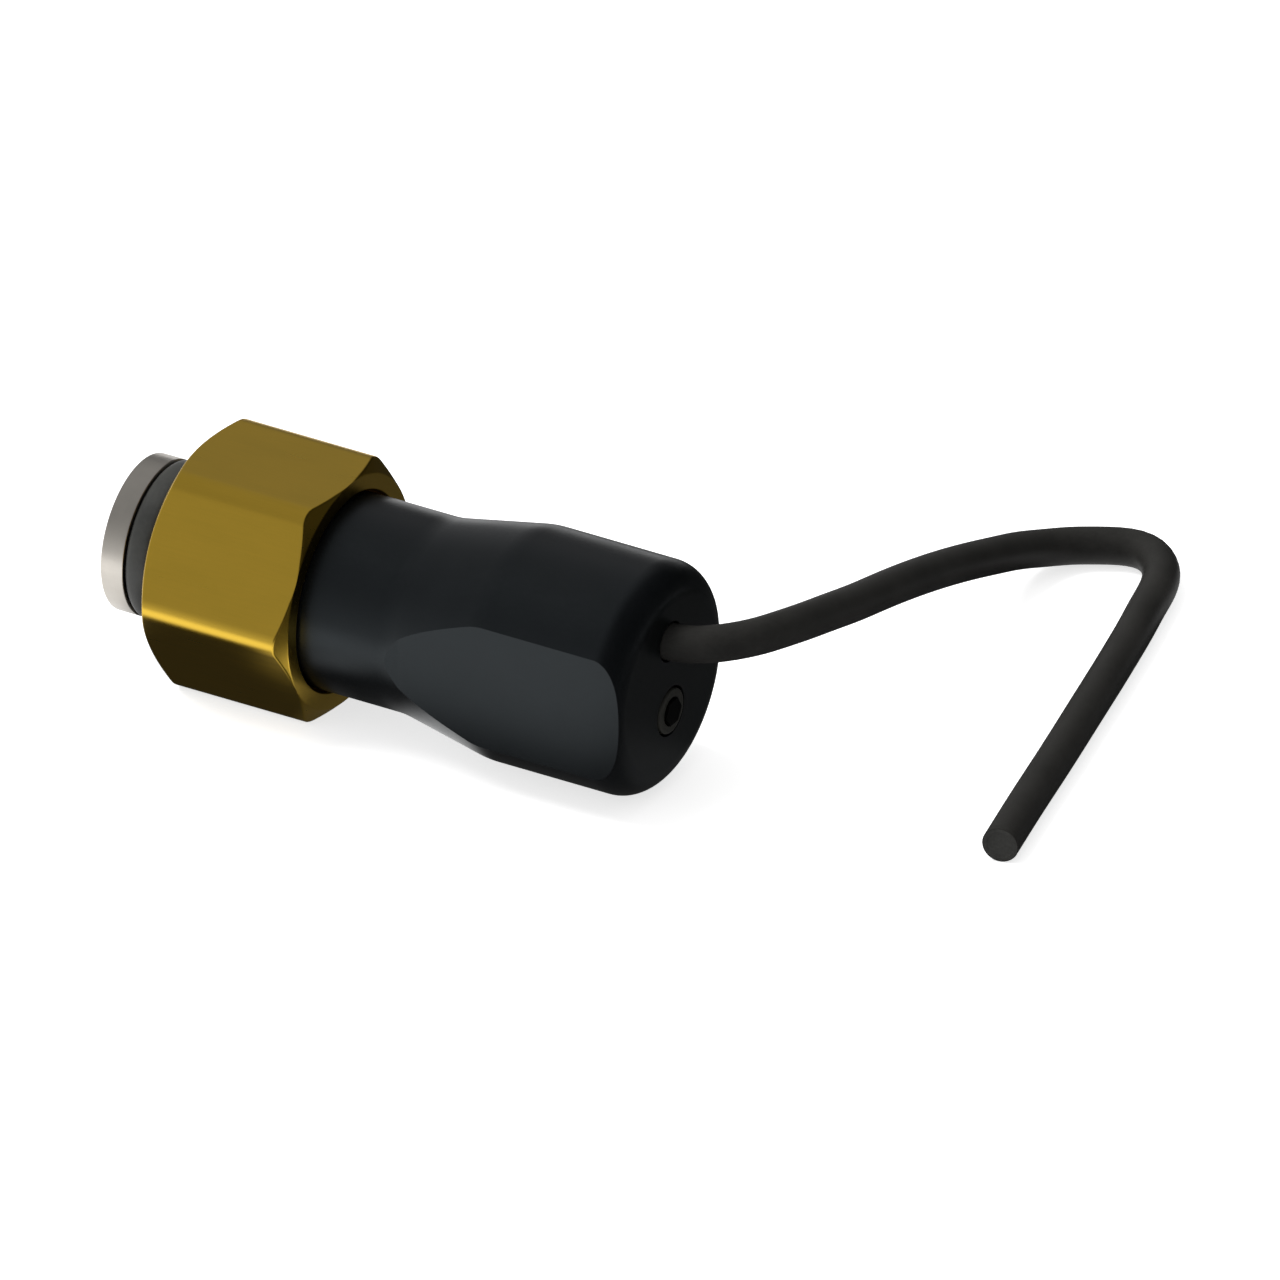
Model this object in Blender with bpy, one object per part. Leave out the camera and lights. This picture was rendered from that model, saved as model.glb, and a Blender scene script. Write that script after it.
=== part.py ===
"""Screw-in ultraviolet sensor with a captive union nut and a free cable.

Units are metres and Z is up. The sensor lies level along X: its sensing face looks towards -X and
its cable leaves the rear face at +X. The origin is on the floor under the middle of the sensor.
Stations are distances behind the sensing face, measured along the sensor's own axis.
"""
import math

import bmesh
import bpy

# Clearances
GAP = 0.0003                    # left between pieces that seat on each other
SEAL_SIDE_GAP = 0.0002          # each side of an O-ring in its groove
ROUND = 64                      # facets around the nut and the housing
ROUND_HEAD = 48                 # facets around the head, its washer and its O-ring
ROUND_SMALL = 24                # facets around the small turned pieces
ROUND_LEAD = 16                 # facets around a lead
NOTCH_STEPS = 12                # facets in the carrier's notch

# Photodiode and optical stack, in order from the sensing face
CAN_DIAMETER = 0.0083
CAN_LENGTH = 0.0035
CAN_EDGE = 0.0003
CAN_RIM = 0.00115               # around the can's window
CAN_WINDOW_DEPTH = 0.0003
HEADER_LIP = 0.00045            # beyond the can
HEADER_THICKNESS = 0.0010
LEAD_RADIUS = 0.00025
LEAD_LENGTH = 0.0110
LEAD_SPREAD = 0.00254           # from the axis to each lead
LIP_LENGTH = 0.0012
LIP_SEAT = 0.0009               # how far the head's lip reaches in over the window
APERTURE_FLARE = 0.0007
GASKET_THICKNESS = 0.0008
WINDOW_THICKNESS = 0.0025
WINDOW_EDGE = 0.0002
RETAINER_LENGTH = 0.0025
RETAINER_WALL = 0.0011
RETAINER_SLOT = 0.0010
FILTER_THICKNESS = 0.0020
STOP_THICKNESS = 0.0012
STOP_HOLE = 0.0030
HOLDER_LENGTH = 0.0050

# Stainless head, outwards from the optical stack
HOLDER_STEP = 0.0005            # from the stack's bore to the holder's bore
TAIL_WALL = 0.0033
SHOULDER_STEP = 0.0007          # from the housing's thread to the neck
COLLAR_STEP = 0.0021            # from the neck to the collar
SPIGOT_STEP = 0.0018            # from the collar in to the spigot
RIM_LENGTH = 0.0031
RIM_EDGE = 0.00015
SEAL_PROUD = 0.00015            # O-ring beyond the rim
SEAL_SECTION = 0.0033
SPIGOT_LENGTH = 0.0127
COLLAR_LENGTH = 0.0025
TAIL_LENGTH = 0.0103            # from the neck's shoulder to the end inside the housing
TAIL_SEAL_SECTION = 0.0016
TAIL_SEAL_SETBACK = 0.0021      # from the shoulder to the tail's groove
TAIL_EDGE = 0.0005

# Union nut, outwards from the collar
COLLAR_CLEARANCE = 0.0004       # from the collar to the minor diameter of the nut's pipe thread
NUT_RELIEF_DEPTH = 0.0013       # thread run-out in front of the lip
NUT_WALL = 0.0015               # from the run-out to a flat
NUT_LENGTH = 0.0211
NUT_CORNER_RADIUS = 0.0029
NUT_FACE_INSET = 0.00075        # from a flat in to the circle that the chamfer leaves on the front
NUT_CHAMFER_ANGLE = math.radians(30)
NUT_ENTRY = 0.0011
NUT_RELIEF_LENGTH = 0.0051
NUT_LIP_LENGTH = 0.0024
NUT_REAR_RECESS = 0.0034
NUT_REAR_GAP = 0.0004           # between the recess and the housing
NUT_PLAY = 0.0015               # how far the nut slides back on the neck
WASHER_THICKNESS = 0.0010

# Housing, outwards from its thread
FRONT_WALL = 0.0035
FRONT_LENGTH = 0.0138
FRONT_EDGE = 0.0004
TAPER_LENGTH = 0.0127
REAR_LENGTH = 0.0206
REAR_FILLET = 0.0039
FLAT_DEPTH = 0.0026             # from the rear's radius in to a flat
THREAD_LENGTH = 0.0126
CAVITY_STEP = 0.0014            # from the thread to the cavity behind it
REAR_WALL = 0.0060

# Cable and what holds it
CABLE_DIAMETER = 0.0047
CABLE_HEIGHT = 0.0060           # above the sensor's axis
CABLE_INSIDE = 0.0050           # inside the cavity, in front of the rear wall
BUSH_WALL = 0.00075
BUSH_LENGTH = 0.0032
CLAMP_WALL = 0.00065
CLAMP_LENGTH = 0.0029
WIRE_RADIUS = 0.0005
WIRE_SPREAD = 0.0010
WIRE_PITCH = 0.0030             # in the plug on the board

# Rear screw
SCREW_DROP = 0.0038             # below the sensor's axis
SCREW_RADIUS = 0.0018
SCREW_LENGTH = 0.0080
SCREW_HEAD_DIAMETER = 0.0060
SCREW_HEAD_HEIGHT = 0.0036
SCREW_PROUD = 0.0002            # head above the rear face
SCREW_EDGE = 0.0003
SOCKET_ACROSS_FLATS = 0.0032
SOCKET_DEPTH = 0.0020

# Board, its carrier and its components
BOARD_THICKNESS = 0.0016
TONGUE_CLEARANCE = 0.0011       # each side of the board's tongue in the tail
RAIL_WALL = 0.0014              # of the carrier, beyond the board's edge
BOARD_SETBACK = 0.0016          # from the board's end to the boss
CARRIER_WALL = 0.0023
CARRIER_PLATE = 0.0035
CARRIER_SETBACK = 0.0016        # from the tail's end to the carrier's front
CARRIER_RAIL_HEIGHT = 0.0010    # top edge of the trough above the axis
BOSS_WALL = 0.0011
BOSS_LENGTH = 0.0032
CHIP_SIZE = (0.0050, 0.0039, 0.0015)
CHIP_PLACE = 0.0056             # of its middle, behind the board's shoulder
TRIMMER_SIZE = (0.0045, 0.0045, 0.0040)
TRIMMER_PLACE = 0.0120
TRIMMER_SLOT = (0.0032, 0.0006, 0.0003)
CAPACITOR_RADIUS = 0.0020
CAPACITOR_HEIGHT = 0.0054
CAPACITOR_PLACES = (0.0056, 0.0112)
RESISTOR_SIZE = (0.0020, 0.00125, 0.0005)
RESISTOR_PLACES = (0.0026, 0.0078, 0.0130)
PLUG_SIZE = (0.0035, 0.0090, 0.0032)
COMPONENT_EDGE = 0.0002
COMPONENT_OFFSET = 0.0031       # of the two component rows from the board's middle

# Diameters that follow from each other, from the photodiode outwards
OPTIC_BORE = CAN_DIAMETER + 2 * (HEADER_LIP + GAP)
CAN_WINDOW = CAN_DIAMETER - 2 * CAN_RIM
APERTURE_DIAMETER = OPTIC_BORE - 2 * LIP_SEAT
TAIL_BORE = OPTIC_BORE + 2 * HOLDER_STEP
THREAD_BORE = TAIL_BORE + 2 * (TAIL_WALL + GAP)
NECK_DIAMETER = THREAD_BORE + 2 * SHOULDER_STEP
COLLAR_DIAMETER = NECK_DIAMETER + 2 * COLLAR_STEP
SPIGOT_DIAMETER = COLLAR_DIAMETER - 2 * SPIGOT_STEP
RIM_DIAMETER = SPIGOT_DIAMETER
SEAL_DIAMETER = RIM_DIAMETER + 2 * SEAL_PROUD
NUT_BORE = COLLAR_DIAMETER + 2 * COLLAR_CLEARANCE
NUT_RELIEF = NUT_BORE + 2 * NUT_RELIEF_DEPTH
NUT_ACROSS_FLATS = NUT_RELIEF + 2 * NUT_WALL
FRONT_DIAMETER = THREAD_BORE + 2 * FRONT_WALL
REAR_DIAMETER = NUT_ACROSS_FLATS
FLATS_WIDTH = REAR_DIAMETER - 2 * FLAT_DEPTH
CAVITY_DIAMETER = THREAD_BORE + 2 * CAVITY_STEP

# Stations of the head, from the sensing face backwards
SEAL_GROOVE = RIM_LENGTH
SPIGOT_START = SEAL_GROOVE + SEAL_SECTION + 2 * SEAL_SIDE_GAP
COLLAR_START = SPIGOT_START + SPIGOT_LENGTH
COLLAR_END = COLLAR_START + COLLAR_LENGTH

# Stations of the nut, which hangs on the collar through the washer
WASHER_START = COLLAR_END + GAP
NUT_LIP_START = WASHER_START + WASHER_THICKNESS + GAP
NUT_LIP_END = NUT_LIP_START + NUT_LIP_LENGTH
NUT_REAR = NUT_LIP_END + NUT_REAR_RECESS
NUT_FRONT = NUT_REAR - NUT_LENGTH
NUT_RELIEF_START = NUT_LIP_START - NUT_RELIEF_LENGTH

# Stations of the housing, which seats on the neck's shoulder
HOUSING_START = NUT_LIP_END + NUT_PLAY + GAP
SHOULDER = HOUSING_START - GAP
TAIL_END = SHOULDER + TAIL_LENGTH
TAPER_START = HOUSING_START + FRONT_LENGTH
TAPER_END = TAPER_START + TAPER_LENGTH
REAR_FACE = TAPER_END + REAR_LENGTH
CAVITY_END = REAR_FACE - REAR_WALL
THREAD_END = HOUSING_START + THREAD_LENGTH

# Stations of the optical stack
GASKET_START = LIP_LENGTH + GAP
WINDOW_START = GASKET_START + GASKET_THICKNESS + GAP
RETAINER_START = WINDOW_START + WINDOW_THICKNESS + GAP
FILTER_START = RETAINER_START + RETAINER_LENGTH + GAP
FILTER_GASKET_START = FILTER_START + FILTER_THICKNESS + GAP
STOP_START = FILTER_GASKET_START + GASKET_THICKNESS + GAP
CAN_START = STOP_START + STOP_THICKNESS + GAP
HEADER_START = CAN_START + CAN_LENGTH
HEADER_END = HEADER_START + HEADER_THICKNESS
HOLDER_START = HEADER_END + GAP
HOLDER_END = HOLDER_START + HOLDER_LENGTH

# Stations of the inner pieces behind the head
BOARD_START = HOLDER_END + GAP
BOARD_SHOULDER = TAIL_END + 2 * GAP
CARRIER_START = TAIL_END + CARRIER_SETBACK
CARRIER_END = CAVITY_END - GAP
PLATE_START = CARRIER_END - CARRIER_PLATE
BOSS_START = PLATE_START - BOSS_LENGTH
BOARD_END = BOSS_START - BOARD_SETBACK
SCREW_END = REAR_FACE + SCREW_PROUD
SCREW_SEAT = SCREW_END - SCREW_HEAD_HEIGHT
SCREW_TIP = SCREW_SEAT - SCREW_LENGTH
CABLE_START = CAVITY_END - CABLE_INSIDE

# Radii and widths that follow from the fits
TAIL_RADIUS = THREAD_BORE / 2 - GAP
OPTIC_RADIUS = OPTIC_BORE / 2 - GAP
CARRIER_RADIUS = THREAD_BORE / 2 - GAP
CABLE_RADIUS = CABLE_DIAMETER / 2
CABLE_HOLE = CABLE_RADIUS + GAP
BUSH_RADIUS = CABLE_HOLE + BUSH_WALL
CLAMP_RADIUS = CABLE_HOLE + CLAMP_WALL
SCREW_HOLE = SCREW_RADIUS + GAP
NECK_HOLE = NECK_DIAMETER / 2 + GAP
TONGUE_WIDTH = TAIL_BORE - 2 * TONGUE_CLEARANCE
BOARD_WIDTH = 2 * (CARRIER_RADIUS - RAIL_WALL - GAP)
BOARD_TOP = -(LEAD_RADIUS + GAP)
COMPONENT_BASE = BOARD_TOP + GAP

# Where the sensor's axis lies in the world
AXIS_HEIGHT = NUT_ACROSS_FLATS / 2
SENSING_FACE_X = -SCREW_END / 2

# Points that the cable runs through, from its inner end to its cut end on the floor
CABLE_ROUTE = [
    (0.02635, 0.0000, 0.0210),
    (0.0319, 0.0000, 0.0210),
    (0.03735, 0.0000, 0.0210),
    (0.0398, 0.0004, 0.0210),
    (0.0423, 0.0015, 0.0213),
    (0.0446, 0.0034, 0.0215),
    (0.0463, 0.0062, 0.0213),
    (0.0473, 0.0097, 0.0208),
    (0.0480, 0.0137, 0.0200),
    (0.0485, 0.0191, 0.0188),
    (0.0487, 0.0255, 0.0171),
    (0.0487, 0.0323, 0.0154),
    (0.0485, 0.0392, 0.0134),
    (0.0484, 0.0466, 0.0111),
    (0.0484, 0.0534, 0.0088),
    (0.0485, 0.0598, 0.0065),
    (0.0490, 0.0652, 0.0047),
    (0.0501, 0.0695, 0.0032),
    (0.0520, 0.0727, 0.0025),
    (0.0546, 0.0744, 0.0024),
    (0.0571, 0.0758, 0.0024),
    (0.0595, 0.0764, 0.0024),
    (0.0617, 0.0759, 0.0024),
    (0.0639, 0.0740, 0.0024),
    (0.0656, 0.0713, 0.0024),
    (0.0667, 0.0681, 0.0024),
    (0.0676, 0.0643, 0.0024),
    (0.0689, 0.0595, 0.0024),
    (0.0714, 0.0490, 0.0024),
    (0.0737, 0.0387, 0.0024),
    (0.0763, 0.0270, 0.0024),
    (0.0788, 0.0152, 0.0024),
    (0.0811, 0.0049, 0.0024),
]
CABLE_STEP = 0.0025             # between the points of the drawn curve
WIRE_STEPS = 6                  # points along each inner wire


def material(name, colour, roughness, metallic=0.0):
    """Return a Principled material of one colour."""
    made = bpy.data.materials.get(name) or bpy.data.materials.new(name)
    made.use_nodes = True
    shader = made.node_tree.nodes["Principled BSDF"]
    shader.inputs["Base Color"].default_value = (*colour, 1.0)
    shader.inputs["Roughness"].default_value = roughness
    shader.inputs["Metallic"].default_value = metallic
    return made


def stainless():
    return material("stainless", (0.62, 0.61, 0.59), 0.30, 1.0)


def brass():
    return material("brass", (0.62, 0.44, 0.14), 0.30, 1.0)


def black_plastic():
    return material("black_plastic", (0.018, 0.019, 0.021), 0.38)


def black_rubber():
    return material("black_rubber", (0.020, 0.020, 0.022), 0.65)


def white_plastic():
    return material("white_plastic", (0.80, 0.79, 0.76), 0.45)


def quartz():
    return material("quartz", (0.86, 0.90, 0.93), 0.05)


def dark_filter():
    return material("dark_filter", (0.10, 0.05, 0.16), 0.08)


def board_green():
    return material("board_green", (0.03, 0.16, 0.07), 0.45)


def tin():
    return material("tin", (0.70, 0.70, 0.70), 0.28, 1.0)


def new_object(name, mesh, finish, axis_empty, centre=(0.0, 0.0)):
    """Add a mesh on the sensor's axis, or beside it by centre = (sideways, up)."""
    made = bpy.data.objects.new(name, mesh)
    made.location = (0.0, centre[0], centre[1])
    made.parent = axis_empty
    bpy.context.scene.collection.objects.link(made)
    if finish is not None:
        mesh.materials.append(finish)
    return made


def mesh_from(name, bm):
    """Turn a bmesh into a mesh whose faces point out and whose round faces shade smooth."""
    bmesh.ops.recalc_face_normals(bm, faces=bm.faces)
    mesh = bpy.data.meshes.new(name)
    bm.to_mesh(mesh)
    bm.free()
    mesh.shade_smooth()
    mesh.set_sharp_from_angle(angle=math.radians(25))
    return mesh


def spin_outline(bm, outline, segments):
    """Spin an outline of (station, radius) about the X axis; it closes itself off the axis."""
    verts = [bm.verts.new((station, 0.0, radius)) for station, radius in outline]
    pairs = list(zip(verts, verts[1:]))
    if outline[0][1] > 0:
        pairs.append((verts[-1], verts[0]))
    edges = [bm.edges.new(pair) for pair in pairs]
    bmesh.ops.spin(bm, geom=verts + edges, cent=(0, 0, 0), axis=(1, 0, 0),
                   angle=2 * math.pi, steps=segments, use_merge=True)
    on_axis = [v for v in bm.verts if abs(v.co.y) + abs(v.co.z) < 1e-7]
    bmesh.ops.remove_doubles(bm, verts=on_axis, dist=1e-6)


def turned(name, outline, finish, axis_empty, centre=(0.0, 0.0), segments=ROUND_SMALL):
    """Make a turned piece from its outline of (station, radius)."""
    bm = bmesh.new()
    spin_outline(bm, outline, segments)
    return new_object(name, mesh_from(name, bm), finish, axis_empty, centre)


def ring_outline(start, end, inner, outer, edge=0.0):
    """Outline of a plain ring, with its outer edges broken by edge."""
    if edge == 0.0:
        return [(start, inner), (start, outer), (end, outer), (end, inner)]
    return [(start, inner), (start, outer - edge), (start + edge, outer),
            (end - edge, outer), (end, outer - edge), (end, inner)]


def disc_outline(start, end, radius, edge=0.0):
    """Outline of a plain disc that reaches the axis."""
    return ring_outline(start, end, 0.0, radius, edge)


def ring_section(station, pitch_radius, section_radius, points):
    """Outline of an O-ring's round section."""
    turns = [2 * math.pi * i / points for i in range(points)]
    return [(station + section_radius * math.sin(a), pitch_radius + section_radius * math.cos(a))
            for a in turns]


def arc(station, radius, size, start_angle, end_angle, steps):
    """Points on an arc about (station, radius); angles in degrees from the outward direction."""
    turns = [math.radians(start_angle + (end_angle - start_angle) * i / steps)
             for i in range(steps + 1)]
    return [(station + size * math.sin(a), radius + size * math.cos(a)) for a in turns]


def prism(name, corners, start, end, finish, axis_empty, centre=(0.0, 0.0)):
    """Extrude a closed outline of (sideways, up) corners along the axis."""
    bm = bmesh.new()
    verts = [bm.verts.new((start, y, z)) for y, z in corners]
    face = bm.faces.new(verts)
    grown = bmesh.ops.extrude_face_region(bm, geom=[face])
    moved = [item for item in grown["geom"] if isinstance(item, bmesh.types.BMVert)]
    bmesh.ops.translate(bm, vec=(end - start, 0, 0), verts=moved)
    return new_object(name, mesh_from(name, bm), finish, axis_empty, centre)


def hexagon(across_flats, corner_radius=0.0, steps=4):
    """Corners of a hexagon with flats at top and bottom and rounded corners."""
    corners = []
    reach = (across_flats / 2 - corner_radius) / math.cos(math.pi / 6)
    for i in range(6):
        middle = math.radians(30 + 60 * i)
        centre = (reach * math.sin(middle), reach * math.cos(middle))
        if corner_radius == 0.0:
            corners.append(centre)
            continue
        for k in range(steps + 1):
            turn = middle + math.radians(-30 + 60 * k / steps)
            corners.append((centre[0] + corner_radius * math.sin(turn),
                            centre[1] + corner_radius * math.cos(turn)))
    return corners


def add_box(bm, low, high, edge=0.0):
    """Add a box between two corners to a bmesh, with all its edges broken by edge."""
    size = [b - a for a, b in zip(low, high)]
    middle = [(a + b) / 2 for a, b in zip(low, high)]
    made = bmesh.ops.create_cube(bm, size=1.0)["verts"]
    for vert in made:
        vert.co = [m + c * s for m, c, s in zip(middle, vert.co, size)]
    if edge > 0.0:
        edges = {e for vert in made for e in vert.link_edges}
        bmesh.ops.bevel(bm, geom=list(edges), offset=edge, segments=1, affect="EDGES")


def box(name, low, high, finish, axis_empty, edge=0.0):
    """Make a box between two corners."""
    bm = bmesh.new()
    add_box(bm, low, high, edge)
    return new_object(name, mesh_from(name, bm), finish, axis_empty)


def carve(target, cutter, operation="DIFFERENCE"):
    """Cut target with cutter, join them or keep what they share; the cutter stays as a guide."""
    change = target.modifiers.new(cutter.name, "BOOLEAN")
    change.operation = operation
    change.solver = "EXACT"
    change.object = cutter
    cutter.hide_render = True
    cutter.display_type = "WIRE"


def make_head(axis_empty):
    """Stainless head: rim, O-ring groove, spigot, collar, neck and threaded tail in one piece."""
    rim = RIM_DIAMETER / 2
    spigot = SPIGOT_DIAMETER / 2
    collar = COLLAR_DIAMETER / 2
    neck = NECK_DIAMETER / 2
    groove = SEAL_DIAMETER / 2 - SEAL_SECTION - GAP
    tail_groove = SHOULDER + TAIL_SEAL_SETBACK
    tail_groove_end = tail_groove + TAIL_SEAL_SECTION + 2 * SEAL_SIDE_GAP
    tail_groove_floor = TAIL_RADIUS - TAIL_SEAL_SECTION - GAP
    aperture = APERTURE_DIAMETER / 2
    outline = [
        (0.0, aperture + APERTURE_FLARE),
        (0.0, rim - RIM_EDGE),
        (RIM_EDGE, rim),
        (SEAL_GROOVE - RIM_EDGE, rim),
        (SEAL_GROOVE, rim - RIM_EDGE),
        (SEAL_GROOVE, groove),
        (SPIGOT_START, groove),
        (SPIGOT_START, spigot - RIM_EDGE),
        (SPIGOT_START + RIM_EDGE, spigot),
        (COLLAR_START, spigot),
        (COLLAR_START, collar - RIM_EDGE),
        (COLLAR_START + RIM_EDGE, collar),
        (COLLAR_END - RIM_EDGE, collar),
        (COLLAR_END, collar - RIM_EDGE),
        (COLLAR_END, neck),
        (SHOULDER, neck),
        (SHOULDER, TAIL_RADIUS),
        (tail_groove, TAIL_RADIUS),
        (tail_groove, tail_groove_floor),
        (tail_groove_end, tail_groove_floor),
        (tail_groove_end, TAIL_RADIUS),
        (TAIL_END - TAIL_EDGE, TAIL_RADIUS),
        (TAIL_END, TAIL_RADIUS - TAIL_EDGE),
        (TAIL_END, TAIL_BORE / 2),
        (HEADER_END, TAIL_BORE / 2),
        (HEADER_END, OPTIC_BORE / 2),
        (LIP_LENGTH, OPTIC_BORE / 2),
        (LIP_LENGTH, aperture),
        (APERTURE_FLARE, aperture),
    ]
    turned("sensor_head", outline, stainless(), axis_empty, segments=ROUND_HEAD)


def make_seals(axis_empty):
    """O-ring behind the rim, and the O-ring between the tail and the housing."""
    seal_radius = SEAL_SECTION / 2
    seal_station = SEAL_GROOVE + SEAL_SIDE_GAP + seal_radius
    turned("seal_ring", ring_section(seal_station, SEAL_DIAMETER / 2 - seal_radius, seal_radius, 12),
           black_rubber(), axis_empty, segments=ROUND_HEAD)
    tail_radius = TAIL_SEAL_SECTION / 2
    tail_station = SHOULDER + TAIL_SEAL_SETBACK + SEAL_SIDE_GAP + tail_radius
    turned("housing_seal", ring_section(tail_station, TAIL_RADIUS - tail_radius, tail_radius, 8),
           black_rubber(), axis_empty)


def make_optics(axis_empty):
    """Window, its gasket and retainer, the filter and its gasket, and the aperture stop."""
    gasket_hole = APERTURE_DIAMETER / 2
    turned("window_gasket", ring_outline(GASKET_START, GASKET_START + GASKET_THICKNESS,
                                         gasket_hole, OPTIC_RADIUS), white_plastic(), axis_empty)
    turned("quartz_window", disc_outline(WINDOW_START, WINDOW_START + WINDOW_THICKNESS,
                                         OPTIC_RADIUS, WINDOW_EDGE), quartz(), axis_empty)
    retainer = turned("window_retainer",
                      ring_outline(RETAINER_START, RETAINER_START + RETAINER_LENGTH,
                                   OPTIC_RADIUS - RETAINER_WALL, OPTIC_RADIUS),
                      brass(), axis_empty)
    slot_start = RETAINER_START + RETAINER_LENGTH - RETAINER_SLOT
    slot_end = RETAINER_START + RETAINER_LENGTH + GAP
    slot = box("retainer_slot_cutter", (slot_start, -OPTIC_BORE, -RETAINER_SLOT / 2),
               (slot_end, OPTIC_BORE, RETAINER_SLOT / 2), None, axis_empty)
    carve(retainer, slot)
    turned("uv_filter", disc_outline(FILTER_START, FILTER_START + FILTER_THICKNESS,
                                     OPTIC_RADIUS, WINDOW_EDGE), dark_filter(), axis_empty)
    turned("filter_gasket", ring_outline(FILTER_GASKET_START, FILTER_GASKET_START + GASKET_THICKNESS,
                                         gasket_hole, OPTIC_RADIUS), white_plastic(), axis_empty)
    turned("aperture_stop", ring_outline(STOP_START, STOP_START + STOP_THICKNESS,
                                         STOP_HOLE / 2, OPTIC_RADIUS), black_plastic(), axis_empty)


def make_diode(axis_empty):
    """Photodiode in its can, its two leads, and the holder that presses it forward."""
    can = CAN_DIAMETER / 2
    outline = [
        (CAN_START + CAN_WINDOW_DEPTH, 0.0),
        (CAN_START + CAN_WINDOW_DEPTH, CAN_WINDOW / 2),
        (CAN_START, CAN_WINDOW / 2),
        (CAN_START, can - CAN_EDGE),
        (CAN_START + CAN_EDGE, can),
        (HEADER_START, can),
        (HEADER_START, OPTIC_RADIUS),
        (HEADER_END, OPTIC_RADIUS),
        (HEADER_END, 0.0),
    ]
    turned("photodiode", outline, tin(), axis_empty)
    holder = turned("diode_holder", disc_outline(HOLDER_START, HOLDER_END, TAIL_BORE / 2 - GAP,
                                                 WINDOW_EDGE), black_plastic(), axis_empty)
    lead_start = HEADER_END + GAP
    for name, side in (("left", LEAD_SPREAD), ("right", -LEAD_SPREAD)):
        turned("photodiode_lead_" + name,
               disc_outline(lead_start, lead_start + LEAD_LENGTH, LEAD_RADIUS),
               tin(), axis_empty, (side, 0.0), ROUND_LEAD)
        carve(holder, turned("lead_hole_cutter_" + name,
                             disc_outline(HEADER_END, HOLDER_END + GAP, LEAD_RADIUS + GAP),
                             None, axis_empty, (side, 0.0), ROUND_LEAD))


def make_washer(axis_empty):
    """Slip washer between the collar and the nut's lip."""
    turned("slip_washer", ring_outline(WASHER_START, WASHER_START + WASHER_THICKNESS, NECK_HOLE,
                                       COLLAR_DIAMETER / 2),
           white_plastic(), axis_empty, segments=ROUND_HEAD)


def make_nut(axis_empty):
    """Brass union nut: rounded hexagon, turned chamfer, and a stepped bore with a lip."""
    nut = prism("union_nut", hexagon(NUT_ACROSS_FLATS, NUT_CORNER_RADIUS), NUT_FRONT, NUT_REAR,
                brass(), axis_empty)
    half = NUT_ACROSS_FLATS / 2
    reach = half / math.cos(math.pi / 6)
    slope = math.tan(NUT_CHAMFER_ANGLE)
    face = half - NUT_FACE_INSET
    form = [
        (NUT_FRONT - GAP, 0.0),
        (NUT_FRONT - GAP, face - GAP / slope),
        (NUT_FRONT + (reach - face) * slope, reach),
        (NUT_REAR - (reach - half) * slope, reach),
        (NUT_REAR + GAP, half - GAP / slope),
        (NUT_REAR + GAP, 0.0),
    ]
    carve(nut, turned("nut_chamfer_form", form, None, axis_empty, segments=ROUND), "INTERSECT")
    bore = NUT_BORE / 2
    relief = NUT_RELIEF / 2
    recess = FRONT_DIAMETER / 2 + NUT_REAR_GAP
    bore_outline = [
        (NUT_FRONT - GAP, 0.0),
        (NUT_FRONT - GAP, bore + NUT_ENTRY + GAP),
        (NUT_FRONT + NUT_ENTRY, bore),
        (NUT_RELIEF_START - (relief - bore), bore),
        (NUT_RELIEF_START, relief),
        (NUT_LIP_START, relief),
        (NUT_LIP_START, NECK_HOLE),
        (NUT_LIP_END, NECK_HOLE),
        (NUT_LIP_END, recess),
        (NUT_REAR + GAP, recess),
        (NUT_REAR + GAP, 0.0),
    ]
    carve(nut, turned("nut_bore_cutter", bore_outline, None, axis_empty, segments=ROUND))


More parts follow.
